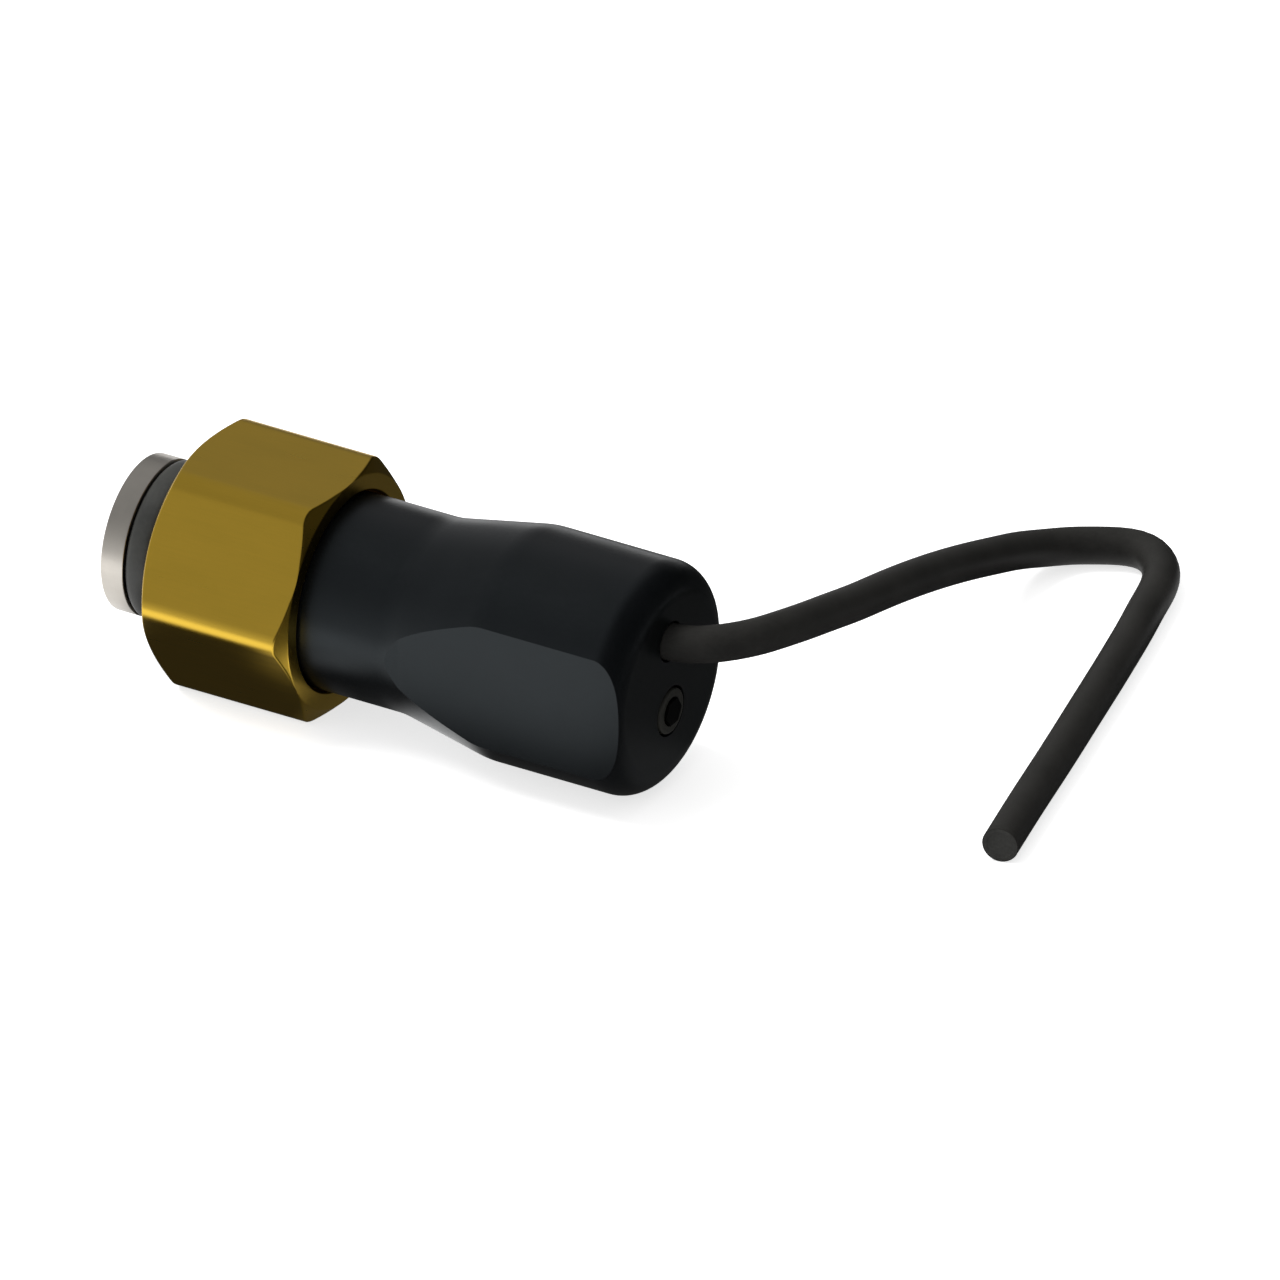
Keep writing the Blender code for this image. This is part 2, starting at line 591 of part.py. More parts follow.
def make_housing(axis_empty):
    """Black housing: round front, taper, larger rear end with two flats and a filleted edge."""
    front = FRONT_DIAMETER / 2
    rear = REAR_DIAMETER / 2
    cavity = CAVITY_DIAMETER / 2
    outline = [
        (CAVITY_END, 0.0),
        (CAVITY_END, cavity),
        (THREAD_END + cavity - THREAD_BORE / 2, cavity),
        (THREAD_END, THREAD_BORE / 2),
        (HOUSING_START, THREAD_BORE / 2),
        (HOUSING_START, front - FRONT_EDGE),
        (HOUSING_START + FRONT_EDGE, front),
        (TAPER_START, front),
        (TAPER_END, rear),
    ]
    outline += arc(REAR_FACE - REAR_FILLET, rear - REAR_FILLET, REAR_FILLET, 0, 90, 8)
    outline.append((REAR_FACE, 0.0))
    housing = turned("housing", outline, black_plastic(), axis_empty, segments=ROUND)
    for name, side in (("left", 1), ("right", -1)):
        inner = side * FLATS_WIDTH / 2
        outer = side * REAR_DIAMETER
        low = (TAPER_START, min(inner, outer), -REAR_DIAMETER)
        high = (REAR_FACE + REAR_FILLET, max(inner, outer), REAR_DIAMETER)
        carve(housing, box("flat_cutter_" + name, low, high, None, axis_empty))
    bush_pocket = CAVITY_END + BUSH_LENGTH + GAP
    cable_way = [
        (CAVITY_END - GAP, 0.0),
        (CAVITY_END - GAP, BUSH_RADIUS + GAP),
        (bush_pocket, BUSH_RADIUS + GAP),
        (bush_pocket, CABLE_HOLE),
        (REAR_FACE + GAP, CABLE_HOLE),
        (REAR_FACE + GAP, 0.0),
    ]
    carve(housing, turned("cable_hole_cutter", cable_way, None, axis_empty, (0.0, CABLE_HEIGHT)))
    head_radius = SCREW_HEAD_DIAMETER / 2 + GAP
    screw_way = [
        (CAVITY_END - GAP, 0.0),
        (CAVITY_END - GAP, SCREW_HOLE),
        (SCREW_SEAT - GAP, SCREW_HOLE),
        (SCREW_SEAT - GAP, head_radius),
        (REAR_FACE + GAP, head_radius),
        (REAR_FACE + GAP, 0.0),
    ]
    carve(housing, turned("screw_hole_cutter", screw_way, None, axis_empty, (0.0, -SCREW_DROP)))


def make_screw(axis_empty):
    """Socket head screw that pulls the board carrier against the rear wall."""
    head = SCREW_HEAD_DIAMETER / 2
    outline = [
        (SCREW_TIP, 0.0),
        (SCREW_TIP, SCREW_RADIUS - SCREW_EDGE),
        (SCREW_TIP + SCREW_EDGE, SCREW_RADIUS),
        (SCREW_SEAT, SCREW_RADIUS),
        (SCREW_SEAT, head),
        (SCREW_END - SCREW_EDGE, head),
        (SCREW_END, head - SCREW_EDGE),
        (SCREW_END, 0.0),
    ]
    screw = turned("rear_screw", outline, black_plastic(), axis_empty, (0.0, -SCREW_DROP))
    socket = prism("socket_cutter", hexagon(SOCKET_ACROSS_FLATS), SCREW_END - SOCKET_DEPTH,
                   SCREW_END + GAP, None, axis_empty, (0.0, -SCREW_DROP))
    carve(screw, socket)


def make_cable_fittings(axis_empty):
    """Rubber bush in the rear wall and the crimp ring that stops the cable inside."""
    centre = (0.0, CABLE_HEIGHT)
    turned("cable_bush", ring_outline(CAVITY_END, CAVITY_END + BUSH_LENGTH, CABLE_HOLE,
                                      BUSH_RADIUS), black_rubber(), axis_empty, centre)
    clamp_start = PLATE_START + GAP
    turned("cable_clamp", ring_outline(clamp_start, clamp_start + CLAMP_LENGTH, CABLE_HOLE,
                                       CLAMP_RADIUS), tin(), axis_empty, centre)


def make_carrier(axis_empty):
    """Carrier: a trough with slots for the board, a rear plate and a boss for the screw."""
    inner = CARRIER_RADIUS - CARRIER_WALL
    outline = [
        (PLATE_START, 0.0),
        (PLATE_START, inner),
        (CARRIER_START, inner),
        (CARRIER_START, CARRIER_RADIUS),
        (CARRIER_END, CARRIER_RADIUS),
        (CARRIER_END, 0.0),
    ]
    carrier = turned("board_carrier", outline, white_plastic(), axis_empty, segments=ROUND_HEAD)
    carve(carrier, box("trough_cutter", (CARRIER_START - GAP, -THREAD_BORE, CARRIER_RAIL_HEIGHT),
                       (PLATE_START, THREAD_BORE, THREAD_BORE), None, axis_empty))
    boss = turned("boss_form", disc_outline(BOSS_START, PLATE_START + GAP, SCREW_HOLE + BOSS_WALL),
                  None, axis_empty, (0.0, -SCREW_DROP))
    carve(carrier, boss, "UNION")
    slot_side = BOARD_WIDTH / 2 + GAP
    carve(carrier, box("board_slot_cutter",
                       (CARRIER_START - GAP, -slot_side, BOARD_TOP - BOARD_THICKNESS - GAP),
                       (BOARD_END + GAP, slot_side, BOARD_TOP + GAP), None, axis_empty))
    notch = CLAMP_RADIUS + GAP
    corners = [(notch, THREAD_BORE), (-notch, THREAD_BORE)]
    turns = [math.pi * i / NOTCH_STEPS for i in range(NOTCH_STEPS + 1)]
    corners += [(-notch * math.cos(a), CABLE_HEIGHT - notch * math.sin(a)) for a in turns]
    carve(carrier, prism("notch_cutter", corners, PLATE_START - GAP, CARRIER_END + GAP, None,
                         axis_empty))
    carve(carrier, turned("boss_hole_cutter",
                          disc_outline(SCREW_TIP - GAP, CARRIER_END + GAP, SCREW_HOLE), None,
                          axis_empty, (0.0, -SCREW_DROP)))


def make_board(axis_empty):
    """Circuit board with a narrow tongue that reaches into the head's tail."""
    bm = bmesh.new()
    plan = [
        (BOARD_START, -TONGUE_WIDTH / 2),
        (BOARD_SHOULDER, -TONGUE_WIDTH / 2),
        (BOARD_SHOULDER, -BOARD_WIDTH / 2),
        (BOARD_END, -BOARD_WIDTH / 2),
        (BOARD_END, BOARD_WIDTH / 2),
        (BOARD_SHOULDER, BOARD_WIDTH / 2),
        (BOARD_SHOULDER, TONGUE_WIDTH / 2),
        (BOARD_START, TONGUE_WIDTH / 2),
    ]
    face = bm.faces.new([bm.verts.new((x, y, BOARD_TOP)) for x, y in plan])
    grown = bmesh.ops.extrude_face_region(bm, geom=[face])
    moved = [item for item in grown["geom"] if isinstance(item, bmesh.types.BMVert)]
    bmesh.ops.translate(bm, vec=(0, 0, -BOARD_THICKNESS), verts=moved)
    new_object("circuit_board", mesh_from("circuit_board", bm), board_green(), axis_empty)


def on_board(station, sideways, size):
    """Corners of a component that stands on the board with its middle at a place."""
    low = (station - size[0] / 2, sideways - size[1] / 2, COMPONENT_BASE)
    high = (station + size[0] / 2, sideways + size[1] / 2, COMPONENT_BASE + size[2])
    return low, high


def make_components(axis_empty):
    """Amplifier chip, trimmer, capacitors, resistors and the wire plug on the board."""
    low, high = on_board(BOARD_SHOULDER + CHIP_PLACE, -COMPONENT_OFFSET, CHIP_SIZE)
    box("amplifier_chip", low, high, black_plastic(), axis_empty, COMPONENT_EDGE)
    trimmer_station = BOARD_SHOULDER + TRIMMER_PLACE
    low, high = on_board(trimmer_station, -COMPONENT_OFFSET, TRIMMER_SIZE)
    trimmer = box("trimmer", low, high, white_plastic(), axis_empty, COMPONENT_EDGE)
    length, width, depth = TRIMMER_SLOT
    carve(trimmer, box("trimmer_slot_cutter",
                       (trimmer_station - length / 2, -COMPONENT_OFFSET - width / 2, high[2] - depth),
                       (trimmer_station + length / 2, -COMPONENT_OFFSET + width / 2, high[2] + depth),
                       None, axis_empty))
    for count, place in enumerate(CAPACITOR_PLACES, start=1):
        capacitor = turned(f"capacitor_{count}",
                           disc_outline(0.0, CAPACITOR_HEIGHT, CAPACITOR_RADIUS, COMPONENT_EDGE),
                           tin(), axis_empty)
        capacitor.rotation_euler = (0.0, -math.pi / 2, 0.0)
        capacitor.location = (BOARD_SHOULDER + place, COMPONENT_OFFSET, COMPONENT_BASE)
    for count, place in enumerate(RESISTOR_PLACES, start=1):
        low, high = on_board(BOARD_SHOULDER + place, 0.0, RESISTOR_SIZE)
        box(f"resistor_{count}", low, high, black_plastic(), axis_empty)
    low, high = on_board(BOARD_END - PLUG_SIZE[0] / 2 - GAP, 0.0, PLUG_SIZE)
    box("wire_plug", low, high, white_plastic(), axis_empty, COMPONENT_EDGE)


def tube(name, run, radius, roundness, finish, axis_empty):
    """Round tube along a list of points, with closed ends."""
    curve = bpy.data.curves.new(name, "CURVE")
    curve.dimensions = "3D"
    curve.bevel_depth = radius
    curve.bevel_resolution = roundness
    curve.use_fill_caps = True
    spline = curve.splines.new("POLY")
    spline.points.add(len(run) - 1)
    for point, place in zip(spline.points, run):
        point.co = (*place, 1.0)
    curve.materials.append(finish)
    made = bpy.data.objects.new(name, curve)
    made.parent = axis_empty
    bpy.context.scene.collection.objects.link(made)


def smooth_step(share):
    """Ease from 0 to 1 with level ends."""
    return share * share * (3 - 2 * share)


def make_conductors(axis_empty):
    """Three wires from the cable's inner end down to the plug on the board."""
    start = CABLE_START - GAP
    end = BOARD_END
    plug_height = COMPONENT_BASE + PLUG_SIZE[2] / 2
    for count in (0, 1, 2):
        turn = math.radians(120 * (count - 1))
        begin = (WIRE_SPREAD * math.sin(turn), CABLE_HEIGHT + WIRE_SPREAD * math.cos(turn))
        finish = ((count - 1) * WIRE_PITCH, plug_height)
        run = []
        for i in range(WIRE_STEPS + 1):
            share = smooth_step(i / WIRE_STEPS)
            run.append((start + (end - start) * i / WIRE_STEPS,
                        begin[0] + (finish[0] - begin[0]) * share,
                        begin[1] + (finish[1] - begin[1]) * share))
        tube(f"conductor_{count + 1}", run, WIRE_RADIUS, 1, brass(), axis_empty)


def between(low, high, share):
    """Blend two points."""
    return [a + (b - a) * share for a, b in zip(low, high)]


def spline_point(points, knots, place):
    """Point of a centripetal Catmull-Rom span between its second and third points."""
    first = [between(points[i], points[i + 1], (place - knots[i]) / (knots[i + 1] - knots[i]))
             for i in range(3)]
    second = [between(first[i], first[i + 1], (place - knots[i]) / (knots[i + 2] - knots[i]))
              for i in range(2)]
    return between(second[0], second[1], (place - knots[1]) / (knots[2] - knots[1]))


def smooth_route(route, step):
    """Points about one step apart on a smooth curve through a route."""
    before = between(route[0], route[1], -1.0)
    after = between(route[-1], route[-2], -1.0)
    padded = [before, *route, after]
    places = []
    for i in range(1, len(padded) - 2):
        points = padded[i - 1:i + 3]
        knots = [0.0]
        for low, high in zip(points, points[1:]):
            knots.append(knots[-1] + math.sqrt(math.dist(low, high)))
        count = max(1, round(math.dist(points[1], points[2]) / step))
        for k in range(count):
            place = knots[1] + (knots[2] - knots[1]) * k / count
            places.append(spline_point(points, knots, place))
    places.append(route[-1])
    return places


def make_cable():
    """Free cable, from inside the housing to its cut end on the floor."""
    rubber = material("cable_rubber", (0.022, 0.021, 0.020), 0.55)
    tube("cable", smooth_route(CABLE_ROUTE, CABLE_STEP), CABLE_RADIUS, 3, rubber, None)


def main():
    for item in list(bpy.data.objects):
        bpy.data.objects.remove(item)
    axis_empty = bpy.data.objects.new("sensor_axis", None)
    axis_empty.location = (SENSING_FACE_X, 0.0, AXIS_HEIGHT)
    bpy.context.scene.collection.objects.link(axis_empty)
    make_head(axis_empty)
    make_seals(axis_empty)
    make_optics(axis_empty)
    make_diode(axis_empty)
    make_washer(axis_empty)
    make_nut(axis_empty)
    make_housing(axis_empty)
    make_screw(axis_empty)
    make_cable_fittings(axis_empty)
    make_carrier(axis_empty)
    make_board(axis_empty)
    make_components(axis_empty)
    make_conductors(axis_empty)
    make_cable()


main()
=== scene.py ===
"""Looks of a screw-in ultraviolet sensor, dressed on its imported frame.

Units are metres and Z is up. The sensor's axis lies level along X, AXIS above the floor, and
stations are distances behind its sensing face.
"""
import math

import bmesh
import bpy
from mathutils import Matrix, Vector


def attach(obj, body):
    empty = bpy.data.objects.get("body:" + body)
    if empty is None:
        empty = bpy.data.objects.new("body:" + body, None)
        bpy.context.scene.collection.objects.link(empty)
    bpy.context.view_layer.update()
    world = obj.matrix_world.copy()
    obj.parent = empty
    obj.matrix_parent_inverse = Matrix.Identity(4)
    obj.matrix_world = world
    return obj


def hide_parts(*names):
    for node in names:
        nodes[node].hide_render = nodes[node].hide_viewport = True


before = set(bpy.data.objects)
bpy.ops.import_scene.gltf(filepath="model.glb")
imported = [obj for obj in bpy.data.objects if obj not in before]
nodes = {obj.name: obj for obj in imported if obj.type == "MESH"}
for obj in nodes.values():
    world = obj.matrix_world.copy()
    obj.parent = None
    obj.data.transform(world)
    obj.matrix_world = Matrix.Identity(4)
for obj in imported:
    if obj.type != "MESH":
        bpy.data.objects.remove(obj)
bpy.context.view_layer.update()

# Camera of the picture
CAMERA_AZIMUTH = math.radians(30)
CAMERA_ELEVATION = math.radians(30)
CAMERA_WIDTH = 0.1568
CAMERA_TARGET = Vector((0.028529, 0.007755, 0.014830))

# Where the sensor's axis lies
FACE_X = -0.03755
AXIS = 0.0150
GAP = 0.0003

# Distance of the rows that keep shading flat beside a rounded edge
HOLD = 0.00012

# Crest and flank of a screw thread, as shares of half its pitch
CREST_SHARE = 0.12
FLANK_SHARE = 0.72

# Head, whose edges are softened by these two sizes
HEAD_EDGE = 0.00010
HEAD_FINE_EDGE = 0.00006
RIM_RADIUS = 0.0100
RIM_END = 0.0031
SEAL_RADIUS = 0.00165
SEAL_HALF = 0.00178
SEAL_SQUASH = 0.58
SEAL_PITCH = 0.0085
SEAL_STATION = 0.00495
GROOVE_RADIUS = 0.00655
SPIGOT_START = 0.0068
COLLAR_START = 0.0195
COLLAR_END = 0.0220
COLLAR_RADIUS = 0.0118
NECK_RADIUS = 0.0097
SHOULDER = 0.0275
TAIL_RADIUS = 0.0087
TAIL_END = 0.0378
TAIL_EDGE = 0.0005
TAIL_GROOVE = (0.0296, 0.0316)
TAIL_GROOVE_RADIUS = 0.0068
TAIL_BORE = 0.0054
OPTIC_BORE = 0.0049
OPTIC_END = 0.0177
APERTURE = 0.0040
APERTURE_FLARE = 0.0007
LIP_LENGTH = 0.0012
TAIL_THREAD_START = 0.0322
TAIL_THREAD_PITCH = 0.0010
TAIL_THREAD_DEPTH = 0.0004

# Union nut, from station NUT_FRONT to NUT_REAR
NUT_FRONT = 0.0083
NUT_REAR = 0.0294
NUT_HALF = 0.0150
NUT_CORNER = 0.0029
NUT_FACE = 0.01425
NUT_SLOPE = math.tan(math.radians(30))
NUT_BORE = 0.0122
NUT_ENTRY = 0.0011
NUT_RELIEF = 0.0135
NUT_RELIEF_START = 0.0185
NUT_LIP_START = 0.0236
NUT_LIP_END = 0.0260
NUT_LIP_RADIUS = 0.0100
NUT_RECESS = 0.0129
NUT_EDGE = 0.00012
NUT_REAR_EDGE = 0.00003
NUT_THREAD_PITCH = 0.001814
NUT_THREAD_DEPTH = 0.0010
NUT_COLUMNS = 360

# Housing, whose flats run out along FLAT_RAMP, FLAT_LIFT over the front's surface
HOUSING_START = 0.0278
FRONT_RADIUS = 0.0125
FRONT_EDGE = 0.0004
TAPER_START = 0.0416
TAPER_END = 0.0543
REAR_RADIUS = 0.0150
REAR_FACE = 0.0749
REAR_FILLET = 0.0039
FLAT_HALF = 0.0124
FLAT_RAMP = (0.0416, 0.0435)
FLAT_LIFT = 0.00006
THREAD_BORE = 0.0090
THREAD_END = 0.0404
CAVITY_RADIUS = 0.0104
CAVITY_END = 0.0689

# Cable and rear screw
CABLE_RADIUS = 0.00235
CABLE_HEIGHT = 0.0060
CABLE_HOLE = 0.00265
CABLE_SIDES = 32
CABLE_EDGE = 0.00012
JACKET_WALL = 0.0006
CORE_DEPTH = 0.00006
CORE_EDGE = 0.00008
BUSH_HOLE = 0.0037
BUSH_END = 0.0724
SCREW_DROP = 0.0038
SCREW_RADIUS = 0.0018
SCREW_HEAD = 0.0030
SCREW_END = 0.0751
SCREW_SEAT = 0.0715
SCREW_TIP = 0.0635
SOCKET_HALF = 0.0016
SOCKET_DEPTH = 0.0020
SOCKET_MOUTH = 0.0020
MOUTH_DEPTH = 0.0004
MOUTH_RISE = 0.0001

# Points that the cable runs through, from its inner end to its cut end on the floor
CABLE_ROUTE = [
    (0.02635, 0.0000, 0.0210), (0.0319, 0.0000, 0.0210), (0.03735, 0.0000, 0.0210),
    (0.0398, 0.0004, 0.0210), (0.0423, 0.0015, 0.0213), (0.0446, 0.0034, 0.0215),
    (0.0463, 0.0062, 0.0213), (0.0473, 0.0097, 0.0208), (0.0480, 0.0137, 0.0200),
    (0.0485, 0.0191, 0.0188), (0.0487, 0.0255, 0.0171), (0.0487, 0.0323, 0.0154),
    (0.0485, 0.0392, 0.0134), (0.0484, 0.0466, 0.0111), (0.0484, 0.0534, 0.0088),
    (0.0485, 0.0598, 0.0065), (0.0490, 0.0652, 0.0047), (0.0501, 0.0695, 0.0032),
    (0.0520, 0.0727, 0.0025), (0.0546, 0.0744, 0.0024), (0.0571, 0.0758, 0.0024),
    (0.0595, 0.0764, 0.0024), (0.0617, 0.0759, 0.0024), (0.0639, 0.0740, 0.0024),
    (0.0656, 0.0713, 0.0024), (0.0667, 0.0681, 0.0024), (0.0676, 0.0643, 0.0024),
    (0.0689, 0.0595, 0.0024), (0.0714, 0.0490, 0.0024), (0.0737, 0.0387, 0.0024),
    (0.0763, 0.0270, 0.0024), (0.0788, 0.0152, 0.0024), (0.0811, 0.0049, 0.0024),
]
# Distance of the tube's rings, how many keep straight at its start, and rounds of smoothing
CABLE_STEP = 0.0012
CABLE_STRAIGHT = 9
CABLE_EASE = 3


def make_camera():
    """Parallel camera of the picture."""
    a, e = CAMERA_AZIMUTH, CAMERA_ELEVATION
    back = Vector((math.sin(a) * math.cos(e), -math.cos(a) * math.cos(e), math.sin(e)))
    data = bpy.data.cameras.new("camera")
    data.type = "ORTHO"
    data.ortho_scale = CAMERA_WIDTH
    data.clip_start = 0.01
    data.clip_end = 10.0
    camera = bpy.data.objects.new("camera", data)
    camera.location = CAMERA_TARGET + back * 0.6
    camera.rotation_euler = (-back).to_track_quat("-Z", "Y").to_euler()
    bpy.context.scene.collection.objects.link(camera)
    bpy.context.scene.camera = camera


# Materials


class Nodes:
    """Small helper that builds one node material."""

    def __init__(self, name):
        self.material = bpy.data.materials.new(name)
        self.material.use_nodes = True
        self.tree = self.material.node_tree
        self.shader = self.tree.nodes["Principled BSDF"]

    def add(self, kind, inputs=None, **settings):
        node = self.tree.nodes.new(kind)
        for key, value in settings.items():
            setattr(node, key, value)
        for key, value in (inputs or {}).items():
            if isinstance(value, bpy.types.NodeSocket):
                self.tree.links.new(value, node.inputs[key])
            else:
                node.inputs[key].default_value = value
        return node

    def math(self, operation, *values):
        node = self.add("ShaderNodeMath", operation=operation)
        for socket, value in zip(node.inputs, values):
            if isinstance(value, bpy.types.NodeSocket):
                self.tree.links.new(value, socket)
            else:
                socket.default_value = value
        return node.outputs[0]

    def range(self, value, low, high, from_low=0.3, from_high=0.7):
        node = self.add("ShaderNodeMapRange", {"Value": value, "From Min": from_low,
                                               "From Max": from_high, "To Min": low,
                                               "To Max": high})
        return node.outputs["Result"]

    def place(self):
        """Object coordinates as separate X, Y and height over the sensor's axis."""
        coords = self.add("ShaderNodeTexCoord").outputs["Object"]
        split = self.add("ShaderNodeSeparateXYZ", {"Vector": coords})
        x, y = split.outputs["X"], split.outputs["Y"]
        z = self.math("SUBTRACT", split.outputs["Z"], AXIS)
        return x, y, z

    def vector(self, x, y, z):
        return self.add("ShaderNodeCombineXYZ", {"X": x, "Y": y, "Z": z}).outputs[0]

    def noise(self, vector, scale, detail=3.0, roughness=0.55):
        return self.add("ShaderNodeTexNoise", {"Vector": vector, "Scale": scale, "Detail": detail,
                                               "Roughness": roughness}).outputs["Fac"]

    def mix(self, factor, first, second):
        node = self.add("ShaderNodeMix", data_type="RGBA")
        self.tree.links.new(factor, node.inputs[0])
        node.inputs[6].default_value = (*first, 1.0)
        node.inputs[7].default_value = (*second, 1.0)
        return node.outputs[2]

    def link(self, value, socket):
        self.tree.links.new(value, self.shader.inputs[socket])

    def bump(self, height, distance, strength=1.0):
        made = self.add("ShaderNodeBump", {"Height": height, "Distance": distance,
                                           "Strength": strength})
        self.link(made.outputs["Normal"], "Normal")

    def fixed(self, **values):
        """Set sockets that are the same all over the surface."""
        names = {"metallic": "Metallic", "ior": "IOR", "specular": "Specular IOR Level",
                 "transmission": "Transmission Weight", "coat": "Coat Weight",
                 "coat_roughness": "Coat Roughness", "specular_tint": "Specular Tint"}
        for key, value in values.items():
            self.shader.inputs[names[key]].default_value = value


def turned_metal(name, low, high, rough, line_scale=5200.0, line_depth=0.000012):
    """Metal with the fine rings that turning about the sensor's axis leaves."""
    n = Nodes(name)
    x, y, z = n.place()
    radius = n.math("SQRT", n.math("ADD", n.math("MULTIPLY", y, y), n.math("MULTIPLY", z, z)))
    rings = n.noise(n.vector(x, radius, 0.0), line_scale, 2.0)
    cloud = n.noise(n.vector(x, y, z), 420.0, 4.0)
    streaks = n.noise(n.vector(n.math("MULTIPLY", x, 0.12), y, z), 900.0, 3.0)
    n.link(n.mix(n.range(cloud, 0.0, 1.0), low, high), "Base Color")
    worn = n.math("ADD", n.range(rings, rough[0], rough[1]), n.range(streaks, -0.03, 0.03))
    n.link(worn, "Roughness")
    n.bump(rings, line_depth, 0.6)
    n.fixed(metallic=1.0)
    return n.material


def drawn_metal(name, low, high, rough):
    """Metal of drawn bar, with fine lines along the sensor's axis."""
    n = Nodes(name)
    x, y, z = n.place()
    lines = n.noise(n.vector(n.math("MULTIPLY", x, 0.05), y, z), 3200.0, 3.0)
    cloud = n.noise(n.vector(n.math("MULTIPLY", x, 0.35), y, z), 260.0, 3.0)
    tone = n.math("ADD", n.math("MULTIPLY", lines, 0.4), n.math("MULTIPLY", cloud, 0.6))
    n.link(n.mix(n.range(tone, 0.0, 1.0, 0.36, 0.64), low, high), "Base Color")
    n.link(n.math("ADD", n.range(lines, rough[0], rough[1]), n.range(cloud, -0.012, 0.012)),
           "Roughness")
    n.bump(lines, 0.000006, 0.4)
    n.fixed(metallic=1.0)
    return n.material


def grained(name, low, high, rough, scale=1800.0, depth=0.00001, **fixed):
    """Moulded or turned plastic, rubber or the like: fine grain over slow cloudy change."""
    n = Nodes(name)
    x, y, z = n.place()
    here = n.vector(x, y, z)
    grain = n.noise(here, scale, 4.0)
    cloud = n.noise(here, 170.0, 3.0)
    tone = n.math("ADD", n.math("MULTIPLY", grain, 0.35), n.math("MULTIPLY", cloud, 0.65))
    n.link(n.mix(n.range(tone, 0.0, 1.0, 0.36, 0.64), low, high), "Base Color")
    n.link(n.range(n.math("ADD", n.math("MULTIPLY", grain, 0.5), n.math("MULTIPLY", cloud, 0.5)),
                   rough[0], rough[1]), "Roughness")
    n.bump(grain, depth, 0.6)
    n.fixed(**fixed)
    return n.material


def board_finish():
    """Solder resist with traces under it."""
    n = Nodes("board_finish")
    x, y, z = n.place()
    here = n.vector(x, y, 0.0)
    cells = n.add("ShaderNodeTexBrick", {"Vector": here, "Scale": 260.0, "Mortar Size": 0.03,
                                         "Color1": (0.010, 0.075, 0.030, 1.0),
                                         "Color2": (0.014, 0.095, 0.038, 1.0),
                                         "Mortar": (0.030, 0.150, 0.060, 1.0)})
    n.link(cells.outputs["Color"], "Base Color")
    n.link(n.range(n.noise(here, 900.0), 0.28, 0.40), "Roughness")
    n.bump(cells.outputs["Fac"], 0.00003, 0.5)
    return n.material


STEEL = turned_metal("steel_finish", (0.645, 0.61, 0.555), (0.69, 0.65, 0.59), (0.29, 0.38))
BRASS = drawn_metal("brass_finish", (0.76, 0.50, 0.060), (0.82, 0.535, 0.065), (0.28, 0.32))
BRASS_TURNED = turned_metal("brass_turned_finish", (0.70, 0.45, 0.075), (0.80, 0.52, 0.090),
                            (0.26, 0.36))
HOUSING = grained("housing_finish", (0.0028, 0.0030, 0.0036), (0.0040, 0.0043, 0.0050),
                  (0.30, 0.38), 2600.0, 0.000006, specular=0.42,
                  specular_tint=(0.80, 0.93, 1.0, 1.0))
SEAL = grained("seal_finish", (0.030, 0.031, 0.029), (0.046, 0.047, 0.043), (0.42, 0.52),
               1500.0, 0.00001, specular=0.55)
JACKET = grained("cable_finish", (0.0180, 0.0175, 0.0160), (0.0250, 0.0243, 0.0222),
                 (0.50, 0.60), 1700.0, 0.00001, specular=0.26)
JACKET_END = grained("cable_end_finish", (0.032, 0.032, 0.030), (0.052, 0.052, 0.049),
                     (0.70, 0.85), 2600.0, 0.00003, specular=0.15)
SCREW = grained("screw_finish", (0.019, 0.019, 0.015), (0.027, 0.027, 0.022), (0.38, 0.48),
                2400.0, 0.000008, specular=0.4)
# Near black for the inside of the screw's socket: painted shade for the recess, much darker than
# the screw's own finish
SOCKET_SHADE = grained("socket_painted_shade", (0.0015, 0.0015, 0.0012), (0.003, 0.003, 0.0025),
                 (0.60, 0.70), 2400.0, 0.000008, specular=0.1)
WHITE = grained("white_plastic_finish", (0.74, 0.73, 0.70), (0.82, 0.81, 0.78), (0.38, 0.50),
                1400.0, 0.00001)
DARK = grained("dark_plastic_finish", (0.016, 0.016, 0.017), (0.026, 0.026, 0.028),
               (0.42, 0.58), 2200.0, 0.00001)
TIN = grained("tin_finish", (0.66, 0.66, 0.66), (0.76, 0.76, 0.75), (0.20, 0.32), 1500.0,
              0.000006, metallic=1.0)
WIRE = grained("wire_finish", (0.40, 0.20, 0.06), (0.50, 0.27, 0.09), (0.40, 0.52), 1500.0,
               0.000006)
QUARTZ = grained("quartz_finish", (0.90, 0.94, 0.95), (0.96, 0.98, 0.99), (0.015, 0.035), 600.0,
                 0.0000005, transmission=1.0, ior=1.46)
FILTER = grained("filter_finish", (0.045, 0.012, 0.085), (0.065, 0.020, 0.115), (0.03, 0.06),
                 500.0, 0.0000005, coat=0.6, coat_roughness=0.03)
BOARD = board_finish()


# Geometry


def link(name, bm, finishes, sharp=30.0):
    """Turn a bmesh into an object in the scene, smooth but for its sharp edges."""
    bmesh.ops.recalc_face_normals(bm, faces=bm.faces)
    mesh = bpy.data.meshes.new(name)
    bm.to_mesh(mesh)
    bm.free()
    mesh.shade_smooth()
    mesh.set_sharp_from_angle(angle=math.radians(sharp))
    for finish in finishes:
        mesh.materials.append(finish)
    made = bpy.data.objects.new(name, mesh)
    bpy.context.scene.collection.objects.link(made)
    return made


